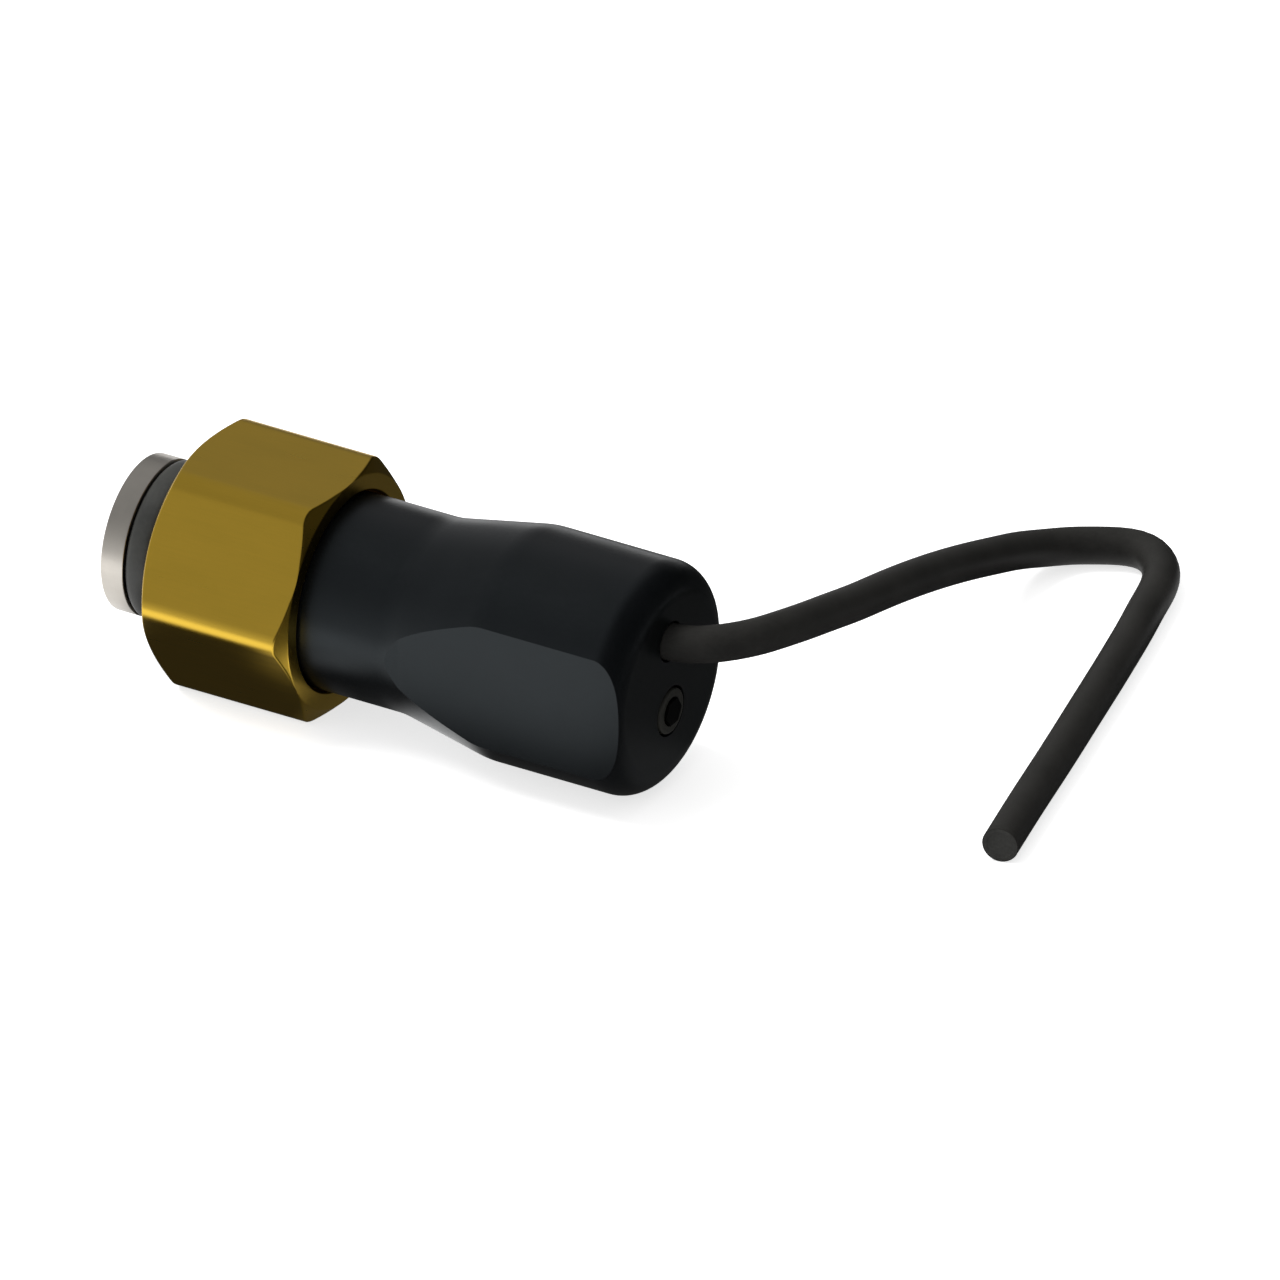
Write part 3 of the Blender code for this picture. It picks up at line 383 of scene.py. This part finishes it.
def soften(outline, size, steps=3, closed=True):
    """Round the corners of an outline; a point with a third value keeps its own size."""
    made = []
    count = len(outline)
    for i, point in enumerate(outline):
        own = point[2] if len(point) > 2 else size
        here = Vector(point[:2])
        if own == 0.0 or (not closed and i in (0, count - 1)):
            made.append(tuple(here))
            continue
        before = Vector(outline[i - 1][:2])
        after = Vector(outline[(i + 1) % count][:2])
        if abs((here - before).normalized().cross((after - here).normalized())) < 0.05:
            made.append(tuple(here))
            continue
        to_before, to_after = before - here, after - here
        first = here + to_before.normalized() * min(own, to_before.length * 0.42)
        last = here + to_after.normalized() * min(own, to_after.length * 0.42)
        made.append(tuple(first.lerp(before, min(0.1, HOLD / to_before.length))))
        for k in range(steps + 1):
            t = k / steps
            made.append(tuple(first.lerp(here, t).lerp(here.lerp(last, t), t)))
        made.append(tuple(last.lerp(after, min(0.1, HOLD / to_after.length))))
    return made


def hold(outline):
    """Add a row close to each end of every segment, so that shading stays flat between them."""
    made = []
    for here, after in zip(outline, outline[1:]):
        a, b = Vector(here), Vector(after)
        share = min(0.25, HOLD / max((b - a).length, 1e-9))
        made += [tuple(a), tuple(a.lerp(b, share)), tuple(b.lerp(a, share))]
    made.append(outline[-1])
    return made


def place(station, radius, turn, centre=(0.0, 0.0)):
    """World point at a station, at a radius and a turn from straight up towards -Y."""
    return (FACE_X + station, centre[0] - radius * math.sin(turn),
            AXIS + centre[1] + radius * math.cos(turn))


def join_columns(bm, columns, last):
    """Faces between neighbouring columns, all the way round."""
    count = len(columns[0])
    for a, b in zip(columns, columns[1:] + columns[:1]):
        for k in range(last):
            bm.faces.new((a[k], a[(k + 1) % count], b[(k + 1) % count], b[k]))


def lathe(name, outline, finish, segments, centre=(0.0, 0.0), sharp=30.0):
    """Turned piece from a closed outline of (station, radius), or one that ends on the axis."""
    bm = bmesh.new()
    on_axis = outline[0][1] == 0.0
    columns = []
    for i in range(segments):
        turn = 2 * math.pi * i / segments
        columns.append([bm.verts.new(place(s, max(r, 1e-9), turn, centre)) for s, r in outline])
    join_columns(bm, columns, len(outline) - 1 if on_axis else len(outline))
    bmesh.ops.remove_doubles(bm, verts=bm.verts, dist=1e-7)
    return link(name, bm, [finish], sharp)


def helix(name, rows, segments, finish, sharp=30.0):
    """Closed piece from rows(turn), a list of (station, radius) at each turn."""
    bm = bmesh.new()
    columns = []
    for i in range(segments):
        turn = 2 * math.pi * i / segments
        columns.append([bm.verts.new(place(s, r, turn)) for s, r in rows(turn)])
    join_columns(bm, columns, len(columns[0]))
    bmesh.ops.remove_doubles(bm, verts=bm.verts, dist=2e-7)
    return link(name, bm, [finish], sharp)


def thread_row(start, end, turn, pitch, root, depth, per_pitch=10):
    """Stations and radii along one line of a screw thread; depth is inward where negative."""
    made = []
    steps = int(round((end - start) / pitch * per_pitch))
    for k in range(steps + 1):
        s = start + (end - start) * k / steps
        phase = (s / pitch - turn / (2 * math.pi)) % 1.0
        tooth = 1.0 - min(1.0, max(0.0, (abs(phase - 0.5) * 2.0 - CREST_SHARE)
                                        / FLANK_SHARE))
        fade = min(1.0, (s - start) / (pitch * 0.5), (end - s) / (pitch * 0.5))
        made.append((s, root + depth * tooth * max(0.0, fade)))
    return made


def cut(target, cutters, sharp):
    """Take cutters out of target, once and for all."""
    for cutter in cutters:
        change = target.modifiers.new("cut", "BOOLEAN")
        change.operation = "DIFFERENCE"
        change.solver = "EXACT"
        change.object = cutter
        if any(cutter.data.materials):
            change.material_mode = "TRANSFER"
    bpy.context.view_layer.update()
    shaped = target.evaluated_get(bpy.context.evaluated_depsgraph_get())
    mesh = bpy.data.meshes.new_from_object(shaped)
    target.modifiers.clear()
    target.data = mesh
    mesh.shade_smooth()
    mesh.set_sharp_from_angle(angle=math.radians(sharp))
    for cutter in cutters:
        bpy.data.objects.remove(cutter)


def flat_cutter(side):
    """Cutter of one wrench flat, which runs out gently at its front."""
    end = REAR_FACE + REAR_FILLET
    plan = [
        (FLAT_RAMP[0], side * (FRONT_RADIUS + FLAT_LIFT)),
        (FLAT_RAMP[1], side * FLAT_HALF),
        (end, side * FLAT_HALF),
        (end, side * REAR_RADIUS * 2),
        (FLAT_RAMP[0], side * REAR_RADIUS * 2),
    ]
    bm = bmesh.new()
    low, high = [[bm.verts.new((FACE_X + s, y, z)) for s, y in plan]
                 for z in (-REAR_RADIUS, 4 * REAR_RADIUS)]
    bm.faces.new(low)
    bm.faces.new(high)
    for i in range(len(plan)):
        bm.faces.new((low[i - 1], low[i], high[i], high[i - 1]))
    return link("flat", bm, [])


def hexagon_prism(name, half, start, end, centre, finish):
    """Hexagonal cutter along the axis."""
    bm = bmesh.new()
    reach = half / math.cos(math.pi / 6)
    rings = []
    for station in (start, end):
        rings.append([bm.verts.new(place(station, reach, math.radians(30 + 60 * i), centre))
                      for i in range(6)])
    bm.faces.new(rings[0])
    bm.faces.new(rings[1])
    for i in range(6):
        bm.faces.new((rings[0][i], rings[0][(i + 1) % 6], rings[1][(i + 1) % 6], rings[1][i]))
    return link(name, bm, [finish])


def dress(piece, body, node):
    """Let a finer piece ride on its body and stand for its CAD node."""
    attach(piece, body)
    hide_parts(node)


def make_head():
    """Stainless head with softened edges and a thread on its tail."""
    edge = HEAD_EDGE
    fine = HEAD_FINE_EDGE
    front = soften([
        (0.0, APERTURE + APERTURE_FLARE, fine),
        (0.0, RIM_RADIUS, edge),
        (RIM_END, RIM_RADIUS, edge),
        (RIM_END, GROOVE_RADIUS, fine),
        (SPIGOT_START, GROOVE_RADIUS, fine),
        (SPIGOT_START, RIM_RADIUS, edge),
        (COLLAR_START, RIM_RADIUS, fine),
        (COLLAR_START, COLLAR_RADIUS, edge),
        (COLLAR_END, COLLAR_RADIUS, edge),
        (COLLAR_END, NECK_RADIUS, fine),
        (SHOULDER, NECK_RADIUS, edge),
        (SHOULDER, TAIL_RADIUS, 0.0),
        (TAIL_GROOVE[0], TAIL_RADIUS, 0.0),
        (TAIL_GROOVE[0], TAIL_GROOVE_RADIUS, 0.0),
        (TAIL_GROOVE[1], TAIL_GROOVE_RADIUS, 0.0),
        (TAIL_GROOVE[1], TAIL_RADIUS, 0.0),
    ], edge)
    back = soften([
        (TAIL_END, TAIL_RADIUS - TAIL_EDGE, 0.0),
        (TAIL_END, TAIL_BORE, 0.0),
        (OPTIC_END, TAIL_BORE, 0.0),
        (OPTIC_END, OPTIC_BORE, 0.0),
        (LIP_LENGTH, OPTIC_BORE, 0.0),
        (LIP_LENGTH, APERTURE, fine),
        (APERTURE_FLARE, APERTURE, fine),
    ], fine)

    def rows(turn):
        thread = thread_row(TAIL_THREAD_START, TAIL_END - TAIL_EDGE, turn, TAIL_THREAD_PITCH,
                            TAIL_RADIUS, -TAIL_THREAD_DEPTH, 8)
        return front + thread + back

    piece = helix("head", rows, 128, STEEL)
    dress(piece, "sensor", "sensor_head")


def make_seal():
    """O-ring behind the rim."""
    steps = 28
    outline = []
    for i in range(steps):
        turn = 2 * math.pi * i / steps
        along, out = math.sin(turn), math.cos(turn)
        outline.append((SEAL_STATION + SEAL_HALF * math.copysign(abs(along) ** SEAL_SQUASH, along),
                        SEAL_PITCH + SEAL_RADIUS * math.copysign(abs(out) ** SEAL_SQUASH, out)))
    piece = lathe("o_ring", outline, SEAL, 128)
    dress(piece, "sensor", "seal_ring")


def nut_reach(turn):
    """Radius of the nut's rounded hexagon at a turn; its flats face up and down."""
    off = (math.degrees(turn) + 30) % 60 - 30
    off = math.radians(off)
    flat = NUT_HALF / math.cos(off)
    beside = math.pi / 6 - abs(off)
    middle = (NUT_HALF - NUT_CORNER) / math.cos(math.pi / 6)
    limit = math.atan2(NUT_CORNER * 0.5, middle + NUT_CORNER * math.cos(math.pi / 6))
    if beside >= limit:
        return flat
    side = middle * math.sin(beside)
    return middle * math.cos(beside) + math.sqrt(NUT_CORNER ** 2 - side ** 2)


def make_nut():
    """Brass union nut with rounded corners, turned chamfers and its pipe thread."""
    e = NUT_EDGE

    def rows(turn):
        reach = nut_reach(turn)
        front_flat = NUT_FRONT + (reach - NUT_FACE) * NUT_SLOPE
        rear_flat = NUT_REAR - (reach - NUT_HALF) * NUT_SLOPE
        step = min(e, (reach - NUT_HALF) / 2)
        rim = min(NUT_REAR_EDGE, (reach - NUT_HALF) / 2)
        made = [
            (NUT_FRONT, NUT_BORE + NUT_ENTRY + e),
            (NUT_FRONT, NUT_FACE - e),
            (NUT_FRONT + e * 0.5, NUT_FACE + e * 0.8),
            (front_flat - e * 0.5, reach - e * 0.9),
            (front_flat + e * 0.2, reach - e * 0.15),
            (front_flat + e, reach),
            (rear_flat - e, reach),
            (rear_flat - e * 0.2, reach - step * 0.3),
            (rear_flat + step * NUT_SLOPE, reach - step),
            (NUT_REAR - rim * NUT_SLOPE, NUT_HALF + rim),
            (NUT_REAR, NUT_HALF - NUT_REAR_EDGE),
            (NUT_REAR, NUT_RECESS + e),
            (NUT_REAR - e, NUT_RECESS),
            (NUT_LIP_END, NUT_RECESS),
            (NUT_LIP_END, NUT_LIP_RADIUS + e),
            (NUT_LIP_END - e, NUT_LIP_RADIUS),
            (NUT_LIP_START + e, NUT_LIP_RADIUS),
            (NUT_LIP_START, NUT_LIP_RADIUS + e),
            (NUT_LIP_START, NUT_RELIEF),
            (NUT_RELIEF_START, NUT_RELIEF),
            (NUT_RELIEF_START - (NUT_RELIEF - NUT_BORE), NUT_BORE),
        ]
        thread = thread_row(NUT_FRONT + NUT_ENTRY, NUT_RELIEF_START - (NUT_RELIEF - NUT_BORE)
                            - e, turn, NUT_THREAD_PITCH, NUT_BORE, NUT_THREAD_DEPTH)
        return hold(made) + thread[::-1]

    piece = helix("nut", rows, NUT_COLUMNS, BRASS, 34.0)
    dress(piece, "nut", "union_nut")


def make_housing():
    """Black housing with its fillet, flats, cable hole and screw hole."""
    steps = 26
    fillet = []
    for i in range(steps + 1):
        turn = math.pi / 2 * i / steps
        fillet.append((REAR_FACE - REAR_FILLET + REAR_FILLET * math.sin(turn),
                       REAR_RADIUS - REAR_FILLET + REAR_FILLET * math.cos(turn)))
    outline = [
        (CAVITY_END, 0.0),
        (CAVITY_END, CAVITY_RADIUS),
        (THREAD_END + CAVITY_RADIUS - THREAD_BORE, CAVITY_RADIUS),
        (THREAD_END, THREAD_BORE),
        (HOUSING_START, THREAD_BORE),
        (HOUSING_START, FRONT_RADIUS - FRONT_EDGE),
        (HOUSING_START + FRONT_EDGE * 0.3, FRONT_RADIUS - FRONT_EDGE * 0.3),
        (HOUSING_START + FRONT_EDGE, FRONT_RADIUS),
    ]
    outline += soften([
        (HOUSING_START + 2 * FRONT_EDGE, FRONT_RADIUS, 0.0),
        (TAPER_START, FRONT_RADIUS, 0.0011),
        (TAPER_END, REAR_RADIUS, 0.0011),
        (REAR_FACE - REAR_FILLET - 0.0002, REAR_RADIUS, 0.0),
    ], 0.0011, 4, closed=False)
    outline += fillet
    outline.append((REAR_FACE, 0.0))
    piece = lathe("body_shell", outline, HOUSING, 160)
    cutters = [flat_cutter(1), flat_cutter(-1)]
    cutters.append(lathe("cable_way", [
        (CAVITY_END - GAP, 0.0),
        (CAVITY_END - GAP, BUSH_HOLE),
        (BUSH_END, BUSH_HOLE),
        (BUSH_END, CABLE_HOLE),
        (REAR_FACE + GAP, CABLE_HOLE),
        (REAR_FACE + GAP, 0.0),
    ], None, 64, (0.0, CABLE_HEIGHT)))
    cutters.append(lathe("screw_way", [
        (CAVITY_END - GAP, 0.0),
        (CAVITY_END - GAP, SCREW_RADIUS + GAP),
        (SCREW_SEAT - GAP, SCREW_RADIUS + GAP),
        (SCREW_SEAT - GAP, SCREW_HEAD + GAP),
        (REAR_FACE + GAP, SCREW_HEAD + GAP),
        (REAR_FACE + GAP, 0.0),
    ], None, 64, (0.0, -SCREW_DROP)))
    cut(piece, cutters, 4.0)
    dress(piece, "sensor", "housing")


def make_screw():
    """Socket head screw in the rear face."""
    outline = soften([
        (SCREW_TIP, 0.0, 0.0),
        (SCREW_TIP, SCREW_RADIUS, 0.0002),
        (SCREW_SEAT, SCREW_RADIUS, 0.0),
        (SCREW_SEAT, SCREW_HEAD, 0.0001),
        (SCREW_END, SCREW_HEAD, 0.0004),
        (SCREW_END, 0.0, 0.0),
    ], 0.0002, 5, closed=False)
    piece = lathe("screw", outline, SCREW, 96, (0.0, -SCREW_DROP))
    mouth = lathe("mouth", [
        (SCREW_END - MOUTH_DEPTH, 0.0),
        (SCREW_END - MOUTH_DEPTH, SOCKET_HALF),
        (SCREW_END + MOUTH_RISE, SOCKET_MOUTH),
        (SCREW_END + GAP, SOCKET_MOUTH),
        (SCREW_END + GAP, 0.0),
    ], None, 64, (0.0, -SCREW_DROP))
    # The socket's cutter hands its painted shade on to the socket's walls and bottom
    socket = hexagon_prism("socket", SOCKET_HALF, SCREW_END - SOCKET_DEPTH, SCREW_END + GAP,
                           (0.0, -SCREW_DROP), SOCKET_SHADE)
    cut(piece, [mouth, socket], 20.0)
    dress(piece, "sensor", "rear_screw")


def spline_point(points, knots, at):
    """Point of a centripetal Catmull-Rom span between its second and third points."""
    def between(a, b, share):
        return [p + (q - p) * share for p, q in zip(a, b)]
    first = [between(points[i], points[i + 1], (at - knots[i]) / (knots[i + 1] - knots[i]))
             for i in range(3)]
    second = [between(first[i], first[i + 1], (at - knots[i]) / (knots[i + 2] - knots[i]))
              for i in range(2)]
    return Vector(between(second[0], second[1], (at - knots[1]) / (knots[2] - knots[1])))


def smooth_route(route, step):
    """Points about one step apart on a smooth curve through a route."""
    first, last = Vector(route[0]), Vector(route[-1])
    before = first * 2 - Vector(route[1])
    after = last * 2 - Vector(route[-2])
    padded = [before, *[Vector(p) for p in route], after]
    made = []
    for i in range(1, len(padded) - 2):
        points = padded[i - 1:i + 3]
        knots = [0.0]
        for low, high in zip(points, points[1:]):
            knots.append(knots[-1] + math.sqrt((high - low).length))
        count = max(1, round((points[2] - points[1]).length / step))
        for k in range(count):
            made.append(spline_point(points, knots, knots[1] + (knots[2] - knots[1]) * k / count))
    made.append(last)
    for _ in range(CABLE_EASE):
        made = [p if i < CABLE_STRAIGHT or i == len(made) - 1
                else (made[i - 1] + p * 2 + made[i + 1]) / 4 for i, p in enumerate(made)]
    return made


def make_cable():
    """Free cable, from inside the housing to its plain cut on the floor."""
    run = smooth_route(CABLE_ROUTE, CABLE_STEP)
    sides = CABLE_SIDES
    edge = CABLE_EDGE
    bm = bmesh.new()
    rings = []
    normal = Vector((0.0, 0.0, 1.0))
    tangents = []
    for i in range(len(run)):
        a, b = run[max(0, i - 1)], run[min(len(run) - 1, i + 1)]
        tangents.append((b - a).normalized())

    def ring(centre, tangent, radius):
        side = tangent.cross(normal).normalized()
        return [bm.verts.new(centre + (side * math.cos(t) + normal * math.sin(t)) * radius)
                for t in (2 * math.pi * k / sides for k in range(sides))]

    for i, (centre, tangent) in enumerate(zip(run, tangents)):
        normal = (normal - tangent * normal.dot(tangent)).normalized()
        if i == len(run) - 1:
            rings.append(ring(centre - tangent * edge, tangent, CABLE_RADIUS))
            rings.append(ring(centre - tangent * edge * 0.3, tangent, CABLE_RADIUS - edge * 0.3))
            rings.append(ring(centre, tangent, CABLE_RADIUS - edge))
        else:
            rings.append(ring(centre, tangent, CABLE_RADIUS))
    for low, high in zip(rings, rings[1:]):
        for k in range(sides):
            bm.faces.new((low[k], low[(k + 1) % sides], high[(k + 1) % sides], high[k]))
    bm.faces.new(rings[0][::-1])
    centre, tangent = run[-1], tangents[-1]
    inner = ring(centre, tangent, CABLE_RADIUS - JACKET_WALL)
    for k in range(sides):
        bm.faces.new((rings[-1][k], rings[-1][(k + 1) % sides], inner[(k + 1) % sides],
                      inner[k])).material_index = 1
    sunk = ring(centre - tangent * CORE_DEPTH, tangent, CABLE_RADIUS - JACKET_WALL - CORE_EDGE)
    for k in range(sides):
        bm.faces.new((inner[k], inner[(k + 1) % sides], sunk[(k + 1) % sides],
                      sunk[k])).material_index = 1
    bm.faces.new(sunk).material_index = 1
    piece = link("cord", bm, [JACKET, JACKET_END])
    dress(piece, "sensor", "cable")


def dress_nodes():
    """Finishes of the CAD nodes that stay."""
    finishes = {
        "housing_seal": SEAL, "window_gasket": WHITE, "quartz_window": QUARTZ,
        "window_retainer": BRASS_TURNED, "uv_filter": FILTER, "filter_gasket": WHITE,
        "aperture_stop": DARK, "photodiode": TIN, "photodiode_lead_left": TIN,
        "photodiode_lead_right": TIN, "diode_holder": DARK, "slip_washer": WHITE,
        "cable_bush": SEAL, "cable_clamp": TIN, "board_carrier": WHITE,
        "circuit_board": BOARD, "amplifier_chip": DARK, "trimmer": WHITE,
        "capacitor_1": TIN, "capacitor_2": TIN, "resistor_1": DARK, "resistor_2": DARK,
        "resistor_3": DARK, "wire_plug": WHITE, "conductor_1": WIRE, "conductor_2": WIRE,
        "conductor_3": WIRE,
    }
    for name, finish in finishes.items():
        node = nodes[name]
        node.data.materials.clear()
        node.data.materials.append(finish)


# Stage and light: colour of the floor, and its own glow for the camera
FLOOR_HALF = 3.0
FLOOR_TONE = 0.80
FLOOR_GLOW = 0.70
# Soft rectangles of painted light and shade on the floor, seen only in reflections: bright ones
# give the brass, the black housing and the cable their highlights, and dark ones stand in for the
# shade under and behind the sensor.
# X from and to, Y from and to, brightness
FAR = 9.0
CARD = (
    (-FAR, -0.018, -0.062, -0.0272, 1.34),
    (-FAR, 0.027, -0.070, -0.0272, 1.22),
    (-FAR, 0.027, -FAR, -0.0560, 0.58),
    (-0.0160, -0.0060, -FAR, -0.0178, 1.00),
    (-FAR, -0.0380, -0.050, FAR, 1.14),
    (-0.0060, FAR, -FAR, 0.060, 0.065),
    (-0.0110, -0.0040, -0.0120, 0.0040, 0.08),
    (0.0020, 0.0125, -0.0135, 0.0040, 1.40),
    (0.0370, 0.0500, -0.0080, 0.0110, 0.14),
    (0.0500, FAR, 0.0690, 0.0870, 0.90),
)
# Brightness of the rest of the floor for gloss, and half the width of a rectangle's soft edge
CARD_REST = 0.028
CARD_SOFT = 0.0042
SUN_STRENGTH = 2.3
SUN_ANGLE = math.radians(35)
SUN_FROM = Vector((-0.50, -0.12, 0.86))
# Surround as gloss sees it: brightness by height, and where it falls off to the right and behind
SKY = ((0.0, 0.62), (0.16, 0.48), (0.38, 0.37), (0.50, 0.29), (0.75, 0.29), (1.0, 0.31))
SKY_RIGHT = (-0.25, 0.15, 1.0, 0.08)
SKY_BEHIND = (0.70, 0.92, 1.0, 0.22)
# Fill light that surfaces get from the surround, from left to right
FILL = (-0.30, 0.90, 0.80, 0.30)


class Plain:
    """Bare node tree with short calls, for the stage."""

    def __init__(self, tree):
        self.tree = tree
        tree.nodes.clear()

    def add(self, kind, *inputs, **settings):
        node = self.tree.nodes.new(kind)
        for key, value in settings.items():
            setattr(node, key, value)
        for socket, value in zip(node.inputs, inputs):
            if isinstance(value, bpy.types.NodeSocket):
                self.tree.links.new(value, socket)
            elif value is not None:
                socket.default_value = value
        return node

    def value(self, kind, *inputs, **settings):
        return self.add(kind, *inputs, **settings).outputs[0]

    def math(self, operation, *inputs):
        return self.value("ShaderNodeMath", *inputs, operation=operation)

    def ramp(self, value, low, high, at_low, at_high):
        """Ease from at_low to at_high as value goes from low to high."""
        node = self.add("ShaderNodeMapRange", interpolation_type="SMOOTHSTEP")
        self.tree.links.new(value, node.inputs["Value"])
        for key, number in (("From Min", low), ("From Max", high), ("To Min", at_low),
                            ("To Max", at_high)):
            node.inputs[key].default_value = number
        return node.outputs["Result"]

    def window(self, value, low, high):
        """1 between low and high, easing to 0 about each of them."""
        rise = self.ramp(value, low - CARD_SOFT, low + CARD_SOFT, 0.0, 1.0)
        return self.math("MULTIPLY", rise,
                         self.ramp(value, high - CARD_SOFT, high + CARD_SOFT, 1.0, 0.0))

    def seen(self):
        """1 for rays that look straight at the stage or through glass."""
        rays = self.add("ShaderNodeLightPath")
        return self.math("MAXIMUM", rays.outputs["Is Camera Ray"],
                         rays.outputs["Is Transmission Ray"])


def make_stage():
    """Pale floor: white to look at, and a card of painted light and shade for what the metal
    mirrors.
    """
    mesh = bpy.data.meshes.new("floor")
    half = FLOOR_HALF
    mesh.from_pydata([(-half, -half, 0), (half, -half, 0), (half, half, 0), (-half, half, 0)],
                     [], [(0, 1, 2, 3)])
    floor = bpy.data.objects.new("floor", mesh)
    bpy.context.scene.collection.objects.link(floor)
    made = bpy.data.materials.new("floor_finish")
    made.use_nodes = True
    n = Plain(made.node_tree)
    coords = n.add("ShaderNodeTexCoord").outputs["Object"]
    split = n.add("ShaderNodeSeparateXYZ", coords)
    x, y = split.outputs["X"], split.outputs["Y"]
    card = CARD_REST
    for x_from, x_to, y_from, y_to, level in CARD:
        patch = n.math("MULTIPLY", n.window(x, x_from, x_to), n.window(y, y_from, y_to))
        card = n.math("MAXIMUM", card, n.math("MULTIPLY", patch, level))
    tone = n.value("ShaderNodeRGB")
    tone.default_value = (FLOOR_TONE, FLOOR_TONE, FLOOR_TONE, 1.0)
    glow = n.add("ShaderNodeEmission")
    n.tree.links.new(n.math("MULTIPLY", n.seen(), FLOOR_GLOW), glow.inputs["Strength"])
    plain = n.value("ShaderNodeAddShader", n.value("ShaderNodeBsdfDiffuse", tone),
                    glow.outputs[0])
    mirrored = n.add("ShaderNodeEmission")
    n.tree.links.new(card, mirrored.inputs["Strength"])
    glossy = n.add("ShaderNodeLightPath").outputs["Is Glossy Ray"]
    n.add("ShaderNodeOutputMaterial",
          n.value("ShaderNodeMixShader", glossy, plain, mirrored.outputs[0]))
    mesh.materials.append(made)


def make_sun():
    """Soft sun that metal doesn't mirror."""
    data = bpy.data.lights.new("key", "SUN")
    data.energy = SUN_STRENGTH
    data.angle = SUN_ANGLE
    key = bpy.data.objects.new("key", data)
    key.rotation_euler = SUN_FROM.to_track_quat("Z", "Y").to_euler()
    key.visible_glossy = False
    bpy.context.scene.collection.objects.link(key)


def make_surround():
    """World that is white to look at, graded for gloss, and a fill light for the rest that fades
    from left to right.
    """
    world = bpy.data.worlds.new("surround")
    bpy.context.scene.world = world
    world.use_nodes = True
    n = Plain(world.node_tree)
    split = n.add("ShaderNodeSeparateXYZ", n.add("ShaderNodeTexCoord").outputs["Generated"])
    height = n.add("ShaderNodeValToRGB", split.outputs["Z"])
    marks = height.color_ramp.elements
    while len(marks) < len(SKY):
        marks.new(0.5)
    for mark, (at, level) in zip(marks, SKY):
        mark.position = at
        mark.color = (level, level, level, 1.0)
    fall = n.math("MULTIPLY", n.ramp(split.outputs["X"], *SKY_RIGHT),
                  n.ramp(split.outputs["Y"], *SKY_BEHIND))
    diffuse = n.add("ShaderNodeLightPath").outputs["Is Diffuse Ray"]
    shade = n.add("ShaderNodeMix", data_type="RGBA")
    n.tree.links.new(diffuse, shade.inputs[0])
    n.tree.links.new(n.value("ShaderNodeVectorMath", height.outputs["Color"],
                             n.value("ShaderNodeCombineXYZ", fall, fall, fall),
                             operation="MULTIPLY"), shade.inputs[6])
    fill = n.ramp(split.outputs["X"], *FILL)
    n.tree.links.new(n.value("ShaderNodeCombineXYZ", fill, fill, fill), shade.inputs[7])
    surround = n.value("ShaderNodeBackground", shade.outputs[2])
    white = n.value("ShaderNodeBackground", (1.0, 1.0, 1.0, 1.0))
    n.add("ShaderNodeOutputWorld", n.value("ShaderNodeMixShader", n.seen(), surround, white))


bpy.context.scene.view_settings.view_transform = "Standard"
make_camera()
make_cable()
make_head()
make_seal()
make_nut()
make_housing()
make_screw()
dress_nodes()
make_stage()
make_sun()
make_surround()
